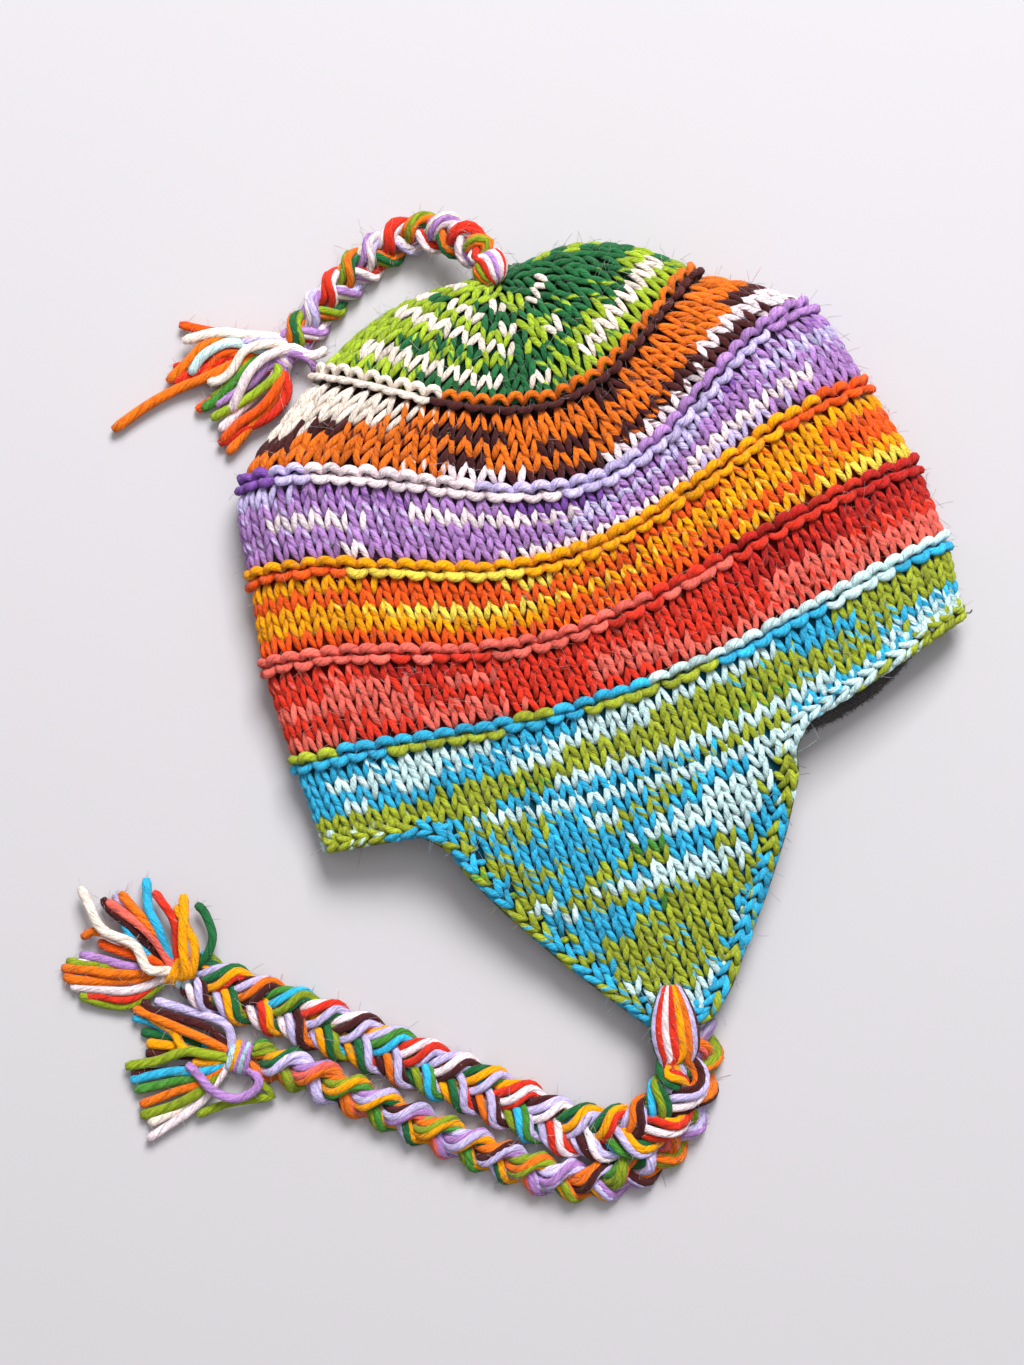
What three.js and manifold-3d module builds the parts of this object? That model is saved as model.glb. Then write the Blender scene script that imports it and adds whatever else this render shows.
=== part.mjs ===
// Earflap beanie, hand knitted in chunky wool, lying flat on its side with both flaps together.
// Millimetres, +Z up, the surface that it lies on at z = 0. Shapes are worked out in the cap's own
// frame: +X along the chord of the rim, +Y from the rim to the crown, the chord's middle at x = y = 0.
// The finished group is moved so that its origin is under the middle of the hat without its cords.
import * as THREE from "three";
import { mergeVertices } from "three/addons/utils/BufferGeometryUtils.js";
import Module from "manifold-3d";

const wasm = await Module();
wasm.setup();

// Cap
const RIM_WIDTH = 269.6; // flat, from fold to fold
const CAP_HEIGHT = 197; // from the rim's chord to the top of the crown
const CAP_DEPTH = 48; // height of the crown's seam over the surface
const FOLD_HEIGHT = 13; // height of the side folds over the surface
const KNIT_WALL = 4.6;
const RIDGE_RELIEF = 2; // how far a purl ridge stands proud of the bands
const RIDGE_WIDTH = 9;

// Ear flaps, without the edging
const FLAP_WIDTH = 135;
const FLAP_LENGTH = 95.5;
const FLAP_CENTRE = -18; // along the rim, from the middle of its chord
const FLAP_FLARE = 9; // how much wider each flap starts on each side, where it leaves the rim
const FLAP_DROOP = 4; // how far the upper flap's sides hang lower than its middle
const FLAP_TUCK = 1.5; // how far the lower flap stays inside the upper one's outline
const FLAP_SPACE = 7.8; // between the two flaps at their tips

// Edging and lining
const TRIM_WIDTH = 7;
const TRIM_THICKNESS = 4.6;
const TRIM_ROUNDING = 1.4;
const LINING_THICKNESS = 2;
const LINING_DEPTH = 62;
const LINING_SHOW = 3.5; // how far it reaches past the lower edging at the right

// Cords, each flat: width by thickness
const TIE_WIDTH = 18;
const TIE_THICKNESS = 10.5;
const TOPKNOT_WIDTH = 14.5;
const TOPKNOT_THICKNESS = 10;
const WRAP_LENGTH = 10;
const TASSEL_LENGTH = 50;
const LOCK_RADIUS = 3.4;

const CLEARANCE = 0.3; // between pieces that touch

// Rings of the cap from the edge of its knitting at the rim to the seam of the crown. The columns
// left, right and low are shares of half the rim's width: where the ring's two folds and its lowest
// point are. The columns leftUp, rightUp, sag and under are shares of the cap's height: how high the
// folds are, and how far the ring sags on the upper and the under layer. The column bow is the
// exponent of the sag, roof a share of the cap's depth and fold a share of the folds' height.
const RINGS = [
  {
    left: -1, leftUp: 0.037, right: 1, rightUp: 0.04, low: 0.15,
    sag: 0.1, under: 0.11, bow: 0.6, roof: 0.63, fold: 1,
  },
  {
    left: -1, leftUp: 0.2, right: 1.022, rightUp: 0.177, low: 0,
    sag: 0.079, under: 0.08, bow: 0.7, roof: 0.72, fold: 1,
  },
  {
    left: -0.985, leftUp: 0.404, right: 1.015, rightUp: 0.34, low: -0.15,
    sag: 0.117, under: 0.09, bow: 1, roof: 0.8, fold: 1.04,
  },
  {
    left: -0.935, leftUp: 0.58, right: 0.957, rightUp: 0.525, low: -0.06,
    sag: 0.152, under: 0.09, bow: 1, roof: 0.88, fold: 1.08,
  },
  {
    left: -0.866, leftUp: 0.762, right: 0.878, rightUp: 0.71, low: 0.094,
    sag: 0.211, under: 0.09, bow: 1, roof: 0.95, fold: 1.15,
  },
  {
    left: -0.548, leftUp: 0.917, right: 0.599, rightUp: 0.851, low: 0.063,
    sag: 0.183, under: 0.09, bow: 0.6, roof: 1, fold: 1.25,
  },
];
// The ring that the crown leans to on its way from the seam to the apex
const SHOULDER = {
  left: -0.223, leftUp: 1.04, right: 0.371, rightUp: 1.04, low: 0.056,
  sag: 0.198, under: -0.05, bow: 1, roof: 0.92, fold: 1,
};
const APEX = { across: 0.047, up: 0.963, roof: 0.6 };
const ROUNDNESS = 2.5; // exponent of the cross-section's superellipse
const PRESS = 1.12; // over 1, the under layer lies flat on the surface in the middle

// Rows of a flap from its root to its tip: down is a share of its length, half and drift are shares
// of half its width.
const FLAP_ROWS = [
  { down: 0, half: 1, drift: 0 },
  { down: 0.2, half: 0.933, drift: 0.006 },
  { down: 0.4, half: 0.766, drift: -0.007 },
  { down: 0.6, half: 0.573, drift: -0.025 },
  { down: 0.8, half: 0.359, drift: -0.047 },
  { down: 0.92, half: 0.23, drift: -0.058 },
  { down: 1, half: 0.12, drift: -0.082 },
];
const FLARE_END = 0.13; // share of the flap's length over which its flare dies out

// The lining shows in a stretch of the under layer: middle and half-length as shares of a turn
const SHOW_MIDDLE = 0.64;
const SHOW_REACH = 0.1;

// Centre lines of the cords, chosen by hand and kept as they are
const TIE_UPPER_ROUTE = [
  [-25.2, -93.1, 23.1], [-27.7, -102.3, 23.1], [-30.2, -111.9, 22.8], [-32.5, -122.7, 20.5],
  [-35.2, -131.9, 17.5], [-43, -138.4, 16.8], [-53.4, -142.7, 15], [-64.2, -142.4, 12.5],
  [-75.5, -138.9, 8.8], [-85.8, -132.5, 6.6], [-98.4, -120.4, 5.7], [-116.6, -102.5, 5.7],
  [-126.9, -93.2, 5.7], [-142.8, -78.6, 5.7], [-154.5, -68.6, 5.7], [-164.2, -60, 5.7],
  [-174.2, -51.2, 5.7], [-184.4, -43, 5.7], [-194.1, -34.6, 5.7], [-203, -26.5, 5.7],
];
const TIE_LOWER_ROUTE = [
  [-20.9, -112.9, 5.6], [-22.5, -122.6, 5.6], [-25.9, -130.7, 5.6], [-30.5, -138.4, 5.6],
  [-36.5, -145.6, 5.6], [-43.7, -151.5, 5.6], [-53.4, -156.9, 5.6], [-65.7, -159.2, 5.6],
  [-78.2, -158.4, 5.6], [-94.5, -151.6, 5.6], [-112.9, -136.8, 5.6], [-128.7, -122.2, 5.6],
  [-144.3, -107.2, 5.6], [-160, -92.2, 5.6], [-175.5, -76.8, 5.6], [-192.5, -65.5, 5.6],
];
const TOPKNOT_ROUTE = [
  [6.2, 193.5, 31.9], [5, 203.5, 29.2], [1.5, 213, 21.5], [-7.5, 221.5, 13.5], [-20, 225.5, 8],
  [-32, 223, 5.9], [-47.5, 215.7, 5.4], [-60.7, 208.7, 5.4], [-71.5, 202.1, 5.4], [-79.6, 197.4, 5.4],
];

// Locks of a tassel: turn is a share of the tassel's spread to either side, reach a share of its
// length, bend how far a lock curls back towards the middle, rise its height over the surface.
const LOCKS = [
  { turn: -1, reach: 0.78, bend: 0.3, rise: 0.1 },
  { turn: -0.72, reach: 0.95, bend: -0.1, rise: 0.5 },
  { turn: -0.45, reach: 1, bend: 0.15, rise: 0.1 },
  { turn: -0.18, reach: 0.94, bend: -0.12, rise: 0.7 },
  { turn: 0.1, reach: 1.02, bend: 0.1, rise: 0.2 },
  { turn: 0.38, reach: 0.93, bend: -0.15, rise: 0.8 },
  { turn: 0.62, reach: 1, bend: 0.1, rise: 0.2 },
  { turn: 0.85, reach: 0.9, bend: -0.25, rise: 0.6 },
  { turn: 1, reach: 0.74, bend: 0.2, rise: 0.1 },
];
const LOCK_RISE = 9; // height that a rise of 1 adds
const LOCK_SIDES = 5;
// Stations along a lock: share of its length and of its radius there
const LOCK_STATIONS = [
  { along: 0, size: 0.8 },
  { along: 0.35, size: 1 },
  { along: 0.75, size: 0.9 },
  { along: 1, size: 0.45 },
];

// How finely the surfaces are cut
const AROUND = 48;
const CROWN_ROWS = [0.2, 0.38, 0.55, 0.7, 0.84, 0.94];
const LINING_ROWS = [0, 0.25, 0.5, 0.75, 1]; // shares of the lining's depth
const INNER_ROWS = [2.5, 3.5, 4.5, 5, 5.25, 5.5, 5.7]; // rows of the cap's inside past the lining
const FLAP_ACROSS = 12;
const FLAP_DOWN = 11;
const EDGE_DOWN = 11;
const ROOT_CROWDING = 1.35; // exponent that crowds a flap's rows towards its root
const RIM_STEP = 9; // spacing of the edging's sections along the rim
const CORD_SIDES = 10;
const TIE_STEPS = 26;
const TOPKNOT_STEPS = 16;
const SMALL_STEP = 1e-3;

const SEAM = RINGS.length - 1;
const HALF_RIM = RIM_WIDTH / 2;
const BAND = (CAP_HEIGHT * (RINGS[SEAM - 1].leftUp - RINGS[0].leftUp)) / (SEAM - 1);
const { lerp, clamp, smoothstep, degToRad } = THREE.MathUtils;

// Smooth value between b and c at share t, with a and d their outer neighbours.
function between(a, b, c, d, t) {
  const bend = 2 * a - 5 * b + 4 * c - d;
  const twist = 3 * b - a - 3 * c + d;
  return b + (t * (c - a) + t * t * bend + t * t * t * twist) / 2;
}

// The ring at place v, where whole numbers are rows of RINGS.
function ringAt(v) {
  const from = clamp(Math.floor(v), 0, SEAM - 1);
  const [b, c] = [RINGS[from], RINGS[from + 1]];
  const ring = {};
  for (const key of Object.keys(b)) {
    const a = from > 0 ? RINGS[from - 1][key] : 2 * b[key] - c[key];
    const d = from + 1 < SEAM ? RINGS[from + 2][key] : 2 * c[key] - b[key];
    ring[key] = between(a, b[key], c[key], d, v - from);
  }
  return ring;
}

// A point of a ring. A turn runs from the left fold over the upper layer to the right fold at one
// half, and back under the hat.
function ringPoint(ring, turn) {
  const upper = turn < 1 / 2;
  const side = -Math.cos(2 * Math.PI * turn);
  const share = (side + 1) / 2;
  const x = lerp(ring.left, ring.right, share);
  const edge = x < ring.low ? ring.left : ring.right;
  const reach = (x - ring.low) / (edge - ring.low);
  const hang = Math.pow((1 + Math.cos(Math.PI * Math.min(reach, 1))) / 2, ring.bow);
  const up = lerp(ring.leftUp, ring.rightUp, share) - hang * (upper ? ring.sag : ring.under);
  const puff = Math.pow(Math.max(0, 1 - Math.pow(Math.abs(side), ROUNDNESS)), 1 / ROUNDNESS);
  const fold = FOLD_HEIGHT * ring.fold;
  const z = upper ? lerp(fold, CAP_DEPTH * ring.roof, puff) : fold * (1 - PRESS * puff);
  return new THREE.Vector3(HALF_RIM * x, CAP_HEIGHT * up, z);
}

const apex = new THREE.Vector3(HALF_RIM * APEX.across, CAP_HEIGHT * APEX.up, CAP_DEPTH * APEX.roof);

// The nominal outer surface of the cap: bands up to the seam, then the crown up to the apex.
function capPoint(v, turn) {
  const point = ringPoint(ringAt(Math.min(v, SEAM)), turn);
  if (v > SEAM) {
    const w = v - SEAM;
    point.multiplyScalar((1 - w) * (1 - w));
    point.addScaledVector(ringPoint(SHOULDER, turn), 2 * w * (1 - w));
    point.addScaledVector(apex, w * w);
  }
  point.z = Math.max(0, point.z);
  return point;
}

function capNormal(v, turn) {
  const wrap = (t) => ((t % 1) + 1) % 1;
  const along = capPoint(v, wrap(turn + SMALL_STEP)).sub(capPoint(v, wrap(turn - SMALL_STEP)));
  const low = Math.max(0, v - SMALL_STEP);
  const up = capPoint(low + 2 * SMALL_STEP, turn).sub(capPoint(low, turn));
  return along.cross(up).normalize();
}

// Height of the purl ridges at place v. Under the hat they are pressed flush.
function ridge(v, z) {
  const nearest = Math.round(clamp(v, 1, SEAM));
  const pitch = v > SEAM ? CAP_HEIGHT * (1 - RINGS[SEAM].leftUp + RINGS[SEAM].sag) : BAND;
  const off = (Math.abs(v - nearest) * pitch) / (RIDGE_WIDTH / 2);
  return RIDGE_RELIEF * Math.max(0, 1 - Math.pow(off, 4)) * clamp(z / FOLD_HEIGHT, 0, 1);
}

// Point on the cap, lifted from its nominal surface by height.
function lifted(v, turn, height) {
  return capPoint(v, turn).addScaledVector(capNormal(v, turn), height);
}

function turnsOf(count) {
  return Array.from({ length: count }, (_, k) => k / count);
}

// Closed mesh through rings of equally many points. A closed loft joins its last ring to its first,
// and an open one ends in the points first and last.
function loft(rings, ends) {
  const count = rings[0].length;
  const points = rings.flat();
  const faces = [];
  const spans = ends ? rings.length - 1 : rings.length;
  for (let r = 0; r < spans; r += 1) {
    const near = r * count;
    const far = ((r + 1) % rings.length) * count;
    for (let k = 0; k < count; k += 1) {
      const next = (k + 1) % count;
      faces.push(near + k, near + next, far + next, near + k, far + next, far + k);
    }
  }
  if (ends) {
    const last = (rings.length - 1) * count;
    points.push(ends.first, ends.last);
    for (let k = 0; k < count; k += 1) {
      const next = (k + 1) % count;
      faces.push(points.length - 2, next, k, points.length - 1, last + k, last + next);
    }
  }
  return facingOut(points, faces);
}

// Plate between two grids of points of the same size.
function plate(top, bottom) {
  const [rows, columns] = [top.length, top[0].length];
  const points = [...top.flat(), ...bottom.flat()];
  const faces = [];
  const quad = (a, b, c, d) => faces.push(a, b, c, a, c, d);
  const at = (layer, r, c) => layer * rows * columns + r * columns + c;
  for (let r = 0; r + 1 < rows; r += 1) {
    for (let c = 0; c + 1 < columns; c += 1) {
      quad(at(0, r, c), at(0, r, c + 1), at(0, r + 1, c + 1), at(0, r + 1, c));
      quad(at(1, r, c), at(1, r + 1, c), at(1, r + 1, c + 1), at(1, r, c + 1));
    }
    quad(at(0, r, 0), at(0, r + 1, 0), at(1, r + 1, 0), at(1, r, 0));
    const c = columns - 1;
    quad(at(0, r, c), at(1, r, c), at(1, r + 1, c), at(0, r + 1, c));
  }
  for (let c = 0; c + 1 < columns; c += 1) {
    quad(at(0, 0, c), at(1, 0, c), at(1, 0, c + 1), at(0, 0, c + 1));
    quad(at(0, rows - 1, c), at(0, rows - 1, c + 1), at(1, rows - 1, c + 1), at(1, rows - 1, c));
  }
  return facingOut(points, faces);
}

// Indexed geometry whose faces are turned so that its volume is positive.
function facingOut(points, faces) {
  let volume = 0;
  const normal = new THREE.Vector3();
  for (let f = 0; f < faces.length; f += 3) {
    volume += points[faces[f]].dot(normal.crossVectors(points[faces[f + 1]], points[faces[f + 2]]));
  }
  if (volume < 0) faces.reverse();
  const geometry = new THREE.BufferGeometry().setFromPoints(points);
  geometry.setIndex(faces);
  return geometry;
}

function knitCap() {
  const half = RIDGE_WIDTH / 2 / BAND;
  const rows = [0];
  for (let k = 1; k <= SEAM; k += 1) {
    rows.push(k - (1 + half) / 2, k - half, k - half / 2, k + half / 2, k + half);
  }
  const crown = CROWN_ROWS.map((w) => SEAM + w);
  const bands = rows.filter((v) => v < crown[0] - half);
  const outer = [...bands, ...crown].map((v) =>
    turnsOf(AROUND).map((turn) => lifted(v, turn, ridge(v, capPoint(v, turn).z))),
  );
  const backed = LINING_ROWS.map((share) => (share * LINING_DEPTH) / BAND);
  const inside = [...backed, ...INNER_ROWS.filter((v) => v > backed.at(-1) + half)];
  const inner = inside.map((v) => turnsOf(AROUND).map((turn) => lifted(v, turn, -KNIT_WALL)));
  const lean = new THREE.Vector3();
  turnsOf(AROUND).forEach((turn) => lean.add(capNormal(SEAM + CROWN_ROWS.at(-1), turn)));
  const roof = apex.clone().addScaledVector(lean.normalize(), -2 * KNIT_WALL);
  return loft([...inner.reverse(), ...outer], { first: roof, last: apex });
}

// The turn at which the rim passes x, on the upper or the under layer.
function rimTurn(x, upper) {
  const { left, right } = RINGS[0];
  const side = (2 * (x / HALF_RIM - left)) / (right - left) - 1;
  const turn = Math.acos(clamp(-side, -1, 1)) / (2 * Math.PI);
  return upper ? turn : 1 - turn;
}

const rimMiddle = {
  upper: capPoint(0, rimTurn(FLAP_CENTRE, true)).y,
  under: capPoint(0, rimTurn(FLAP_CENTRE, false)).y,
};
const FLAP_TOP = 2 * KNIT_WALL + FLAP_SPACE; // the upper flap's top at its tip

// Point of a flap's outer face: across runs from -1 to 1, down from 0 at the rim to 1 at the tip.
function flapPoint(upper, across, down) {
  const next = Math.max(1, FLAP_ROWS.findIndex((row) => row.down >= down));
  const [a, b] = [FLAP_ROWS[next - 1], FLAP_ROWS[next]];
  const t = (down - a.down) / (b.down - a.down);
  const flare = FLAP_FLARE * Math.pow(Math.max(0, 1 - down / FLARE_END), 2);
  const tuck = upper ? 0 : FLAP_TUCK;
  const half = (FLAP_WIDTH / 2) * lerp(a.half, b.half, t) + flare - tuck * down;
  const x = FLAP_CENTRE + (FLAP_WIDTH / 2) * lerp(a.drift, b.drift, t) + across * half;
  const root = capPoint(0, rimTurn(x, upper));
  const middle = upper ? rimMiddle.upper : rimMiddle.under;
  const length = upper ? FLAP_LENGTH : FLAP_LENGTH + rimMiddle.under - rimMiddle.upper - FLAP_TUCK;
  const y = lerp(root.y, middle, down) - CLEARANCE - down * length;
  const ease = smoothstep(down, 0, 1);
  const droop = FLAP_DROOP * across * across * Math.sin(Math.PI * down);
  const z = upper ? lerp(root.z, FLAP_TOP, ease) - droop : lerp(root.z, 0, ease);
  return new THREE.Vector3(x, y, z);
}

function earflap(upper) {
  const rows = Array.from({ length: FLAP_DOWN + 1 }, (_, k) => Math.pow(k / FLAP_DOWN, ROOT_CROWDING));
  const face = rows.map((down) =>
    Array.from({ length: FLAP_ACROSS + 1 }, (_, k) => flapPoint(upper, (2 * k) / FLAP_ACROSS - 1, down)),
  );
  const wall = new THREE.Vector3(0, 0, upper ? -KNIT_WALL : KNIT_WALL);
  return plate(face, face.map((row) => row.map((point) => point.clone().add(wall))));
}

// Stations along the edge of one layer, in the order of growing turn: the rim up to the flap, round
// the flap, and the rim from there on. Each has its point on the outer face and the face's normal.
function edgeOf(upper) {
  const normal = new THREE.Vector3(0, 0, upper ? 1 : -1);
  const near = upper ? -1 : 1;
  const down = Array.from({ length: EDGE_DOWN + 1 }, (_, k) => Math.pow(k / EDGE_DOWN, ROOT_CROWDING));
  const flap = [
    ...down.map((d) => flapPoint(upper, near, d)),
    ...[-1 / 3, 1 / 3].map((across) => flapPoint(upper, -near * across, 1)),
    ...down.reverse().map((d) => flapPoint(upper, -near, d)),
  ].map((point) => ({ point, normal }));
  const ends = [flap[0].point.x, flap.at(-1).point.x].map((x) => rimTurn(x, upper));
  const start = upper ? 0 : 1 / 2;
  return [...rimStations(start, ends[0]), ...flap, ...rimStations(ends[1], start + 1 / 2).slice(1)];
}

function rimStations(from, to) {
  const length = capPoint(0, from % 1).distanceTo(capPoint(0, to % 1));
  const count = Math.max(4, Math.round(length / RIM_STEP) + 3);
  return Array.from({ length: count }, (_, k) => {
    const turn = lerp(from, to, k / count);
    return { point: capPoint(0, turn), normal: capNormal(0, turn) };
  });
}

// Sections of the edging: a rounded bar that runs just outside the edge, flush with the outer face.
function edgeTrim() {
  const stations = [...edgeOf(true), ...edgeOf(false)];
  const [w, t] = [TRIM_WIDTH / 2, TRIM_THICKNESS / 2];
  const r = TRIM_ROUNDING;
  const outline = [
    [-w, r - t], [r - w, -t], [w - r, -t], [w, r - t], [w, t - r], [w - r, t], [r - w, t], [-w, t - r],
  ];
  const sections = stations.map(({ point, normal }, k) => {
    const before = stations.at(k - 1).point;
    const after = stations[(k + 1) % stations.length].point;
    const along = after.clone().sub(before).normalize();
    const outward = along.clone().cross(normal).normalize();
    const face = outward.clone().cross(along).normalize();
    const centre = point.clone().addScaledVector(outward, CLEARANCE + w).addScaledVector(face, -t);
    return outline.map(([o, n]) => {
      const corner = centre.clone().addScaledVector(outward, o).addScaledVector(face, n);
      corner.z = Math.max(0, corner.z);
      return corner;
    });
  });
  return loft(sections);
}

// The lining lies inside the knitting, and in one stretch reaches out past the lower edging.
function fleeceLining() {
  const depth = LINING_DEPTH / BAND;
  const near = KNIT_WALL + CLEARANCE;
  const rowAt = (share, inset) =>
    turnsOf(AROUND).map((turn) => {
      const point = lifted(share * depth, turn, -inset);
      const off = Math.min(1, Math.abs(turn - SHOW_MIDDLE) / SHOW_REACH);
      const show = share === 0 ? (1 + Math.cos(Math.PI * off)) / 2 : 0;
      point.y -= show * (CLEARANCE + TRIM_WIDTH + LINING_SHOW);
      point.z = Math.max(point.z, show > 0 ? Math.max(near, TRIM_THICKNESS + CLEARANCE) : 0);
      return point;
    });
  const outer = LINING_ROWS.map((share) => rowAt(share, near));
  const inner = LINING_ROWS.map((share) => rowAt(share, near + LINING_THICKNESS));
  return loft([...outer, ...inner.reverse()]);
}

// A cord's centre line. Its frames keep the flat section level.
class CordLine extends THREE.CatmullRomCurve3 {
  computeFrenetFrames(segments) {
    const frames = { tangents: [], normals: [], binormals: [] };
    for (let k = 0; k <= segments; k += 1) {
      const tangent = this.getTangentAt(k / segments);
      const level = new THREE.Vector3(-tangent.y, tangent.x, 0).normalize();
      frames.tangents.push(tangent);
      frames.normals.push(level.clone().cross(tangent));
      frames.binormals.push(level);
    }
    return frames;
  }
}

function curveOf(route) {
  return new CordLine(route.map((point) => new THREE.Vector3(...point)));
}

// Flat cord along its route.
function cord(route, width, thickness, steps) {
  const section = new THREE.Shape(
    turnsOf(CORD_SIDES).map((turn) => {
      const angle = 2 * Math.PI * turn;
      return new THREE.Vector2((thickness / 2) * Math.cos(angle), (width / 2) * Math.sin(angle));
    }),
  );
  const tube = new THREE.ExtrudeGeometry(section, { steps, extrudePath: curveOf(route) });
  tube.deleteAttribute("normal");
  tube.deleteAttribute("uv");
  return mergeVertices(tube);
}

// Where a cord ends and the level direction in which it leaves.
function endOf(route) {
  const curve = curveOf(route);
  const along = curve.getTangent(1);
  along.z = 0;
  return { point: curve.getPoint(1), along: along.normalize() };
}

// Ring round a level direction: radius across and high.
function ringAround(centre, along, across, high, sides) {
  const side = new THREE.Vector3(-along.y, along.x, 0).normalize();
  return turnsOf(sides).map((turn) => {
    const angle = 2 * Math.PI * turn;
    const point = centre.clone().addScaledVector(side, across * Math.cos(angle));
    point.z += high * Math.sin(angle);
    return point;
  });
}

// Stations along a barrel with soft shoulders: share of its length and of its radius there
const BARREL_STATIONS = [
  { along: 0, size: 0.72 },
  { along: 0.22, size: 0.98 },
  { along: 0.5, size: 1 },
  { along: 0.78, size: 0.98 },
  { along: 1, size: 0.72 },
];
const WAIST = 2 / 3; // share of a cord's width that is left where its yarns are tied together

function barrel(start, along, length, width, thickness) {
  const at = (share) => start.clone().addScaledVector(along, share * length);
  const rings = BARREL_STATIONS.map(({ along: share, size }) =>
    ringAround(at(share), along, (size * WAIST * width) / 2, (size * thickness) / 2, CORD_SIDES),
  );
  return loft(rings, { first: at(0), last: at(1) });
}

// Yarn wound round the end of a cord.
function cordWrap(route, width, thickness) {
  const { point, along } = endOf(route);
  return barrel(point.addScaledVector(along, CLEARANCE), along, WRAP_LENGTH, width, thickness);
}

function asManifold(geometry) {
  return new wasm.Manifold(
    new wasm.Mesh({
      numProp: 3,
      vertProperties: new Float32Array(geometry.getAttribute("position").array),
      triVerts: new Uint32Array(geometry.getIndex().array),
    }),
  );
}

function asGeometry(solid) {
  const mesh = solid.getMesh();
  const geometry = new THREE.BufferGeometry();
  geometry.setAttribute("position", new THREE.BufferAttribute(mesh.vertProperties, 3));
  geometry.setIndex(new THREE.BufferAttribute(mesh.triVerts, 1));
  return geometry;
}

// One curved lock of yarn that starts inside the tassel's head.
function lockOf(head, along, lock, spread, length) {
  const heading = along.clone().applyAxisAngle(new THREE.Vector3(0, 0, 1), lock.turn * spread);
  const side = new THREE.Vector3(-heading.y, heading.x, 0);
  const low = LOCK_RADIUS + lock.rise * LOCK_RISE;
  const tip = head.clone().addScaledVector(heading, lock.reach * length);
  tip.addScaledVector(side, lock.bend * length * Math.sin(spread) * -Math.sign(lock.turn));
  tip.z = low / 2 + LOCK_RADIUS / 2;
  const middle = head.clone().addScaledVector(along, (lock.reach * length) / 3);
  middle.addScaledVector(heading, (lock.reach * length) / 4);
  middle.z = low + LOCK_RADIUS / 2;
  const curve = new THREE.QuadraticBezierCurve3(head, middle, tip);
  const rings = LOCK_STATIONS.map(({ along: share, size }) => {
    const tangent = curve.getTangent(share);
    const radius = LOCK_RADIUS * size;
    return ringAround(curve.getPoint(share), tangent, radius, radius, LOCK_SIDES);
  });
  return loft(rings, { first: curve.getPoint(0), last: curve.getPoint(1) });
}

// Locks fanned out from a rounded head, joined into one body.
function tassel(route, width, thickness, bias, spread, length) {
  const { point, along } = endOf(route);
  const start = point.addScaledVector(along, 2 * CLEARANCE + WRAP_LENGTH);
  const headLength = width / 2;
  const heading = along.clone().applyAxisAngle(new THREE.Vector3(0, 0, 1), bias);
  const root = start.clone().addScaledVector(along, headLength / 2);
  let body = asManifold(barrel(start, along, headLength, width, thickness));
  for (const lock of LOCKS) {
    body = body.add(asManifold(lockOf(root, heading, lock, spread, length)));
  }
  return asGeometry(body);
}

const YARN = { roughness: 0.95, metalness: 0 };

function piece(name, geometry, colour) {
  const mesh = new THREE.Mesh(geometry, new THREE.MeshStandardMaterial({ color: colour, ...YARN }));
  mesh.name = name;
  return mesh;
}

// How far a tassel fans out to each side, and how far it points away from its cord's end
const TIE_SPREAD = degToRad(44);
const UPPER_BIAS = degToRad(-13);
const LOWER_BIAS = degToRad(22);
const TOP_SPREAD = degToRad(36);
const TOP_BIAS = degToRad(-26);

const hat = new THREE.Group();
hat.add(
  piece("knit_cap", knitCap(), "#d8632a"),
  piece("earflap_upper", earflap(true), "#35b4e0"),
  piece("earflap_lower", earflap(false), "#35b4e0"),
  piece("edge_trim", edgeTrim(), "#8fa31a"),
  piece("fleece_lining", fleeceLining(), "#3a3538"),
);
const box = new THREE.Box3().setFromObject(hat);
const footprint = box.getCenter(new THREE.Vector3()).setZ(box.min.z);

hat.add(
  piece("tie_braid_upper", cord(TIE_UPPER_ROUTE, TIE_WIDTH, TIE_THICKNESS, TIE_STEPS), "#e8761e"),
  piece("tie_wrap_upper", cordWrap(TIE_UPPER_ROUTE, TIE_WIDTH, TIE_THICKNESS), "#f9a800"),
  piece(
    "tie_tassel_upper",
    tassel(TIE_UPPER_ROUTE, TIE_WIDTH, TIE_THICKNESS, UPPER_BIAS, TIE_SPREAD, TASSEL_LENGTH),
    "#d8322a",
  ),
  piece("tie_braid_lower", cord(TIE_LOWER_ROUTE, TIE_WIDTH, TIE_THICKNESS, TIE_STEPS), "#e8761e"),
  piece("tie_wrap_lower", cordWrap(TIE_LOWER_ROUTE, TIE_WIDTH, TIE_THICKNESS), "#a878c8"),
  piece(
    "tie_tassel_lower",
    tassel(TIE_LOWER_ROUTE, TIE_WIDTH, TIE_THICKNESS, LOWER_BIAS, TIE_SPREAD, TASSEL_LENGTH),
    "#8fa31a",
  ),
  piece("top_braid", cord(TOPKNOT_ROUTE, TOPKNOT_WIDTH, TOPKNOT_THICKNESS, TOPKNOT_STEPS), "#a878c8"),
  piece("top_wrap", cordWrap(TOPKNOT_ROUTE, TOPKNOT_WIDTH, TOPKNOT_THICKNESS), "#cfc4ee"),
  piece(
    "top_tassel",
    tassel(TOPKNOT_ROUTE, TOPKNOT_WIDTH, TOPKNOT_THICKNESS, TOP_BIAS, TOP_SPREAD, TASSEL_LENGTH),
    "#e8761e",
  ),
);
hat.position.copy(footprint).negate();

export default hat;
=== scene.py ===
"""Looks of the earflap beanie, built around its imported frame.

Shapes are worked out in millimetres in the cap's own frame, as in the part's source: +X along the
chord of the rim, +Y from the rim to the crown, +Z up. One function moves them to the row's frame.
"""

import math

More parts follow.
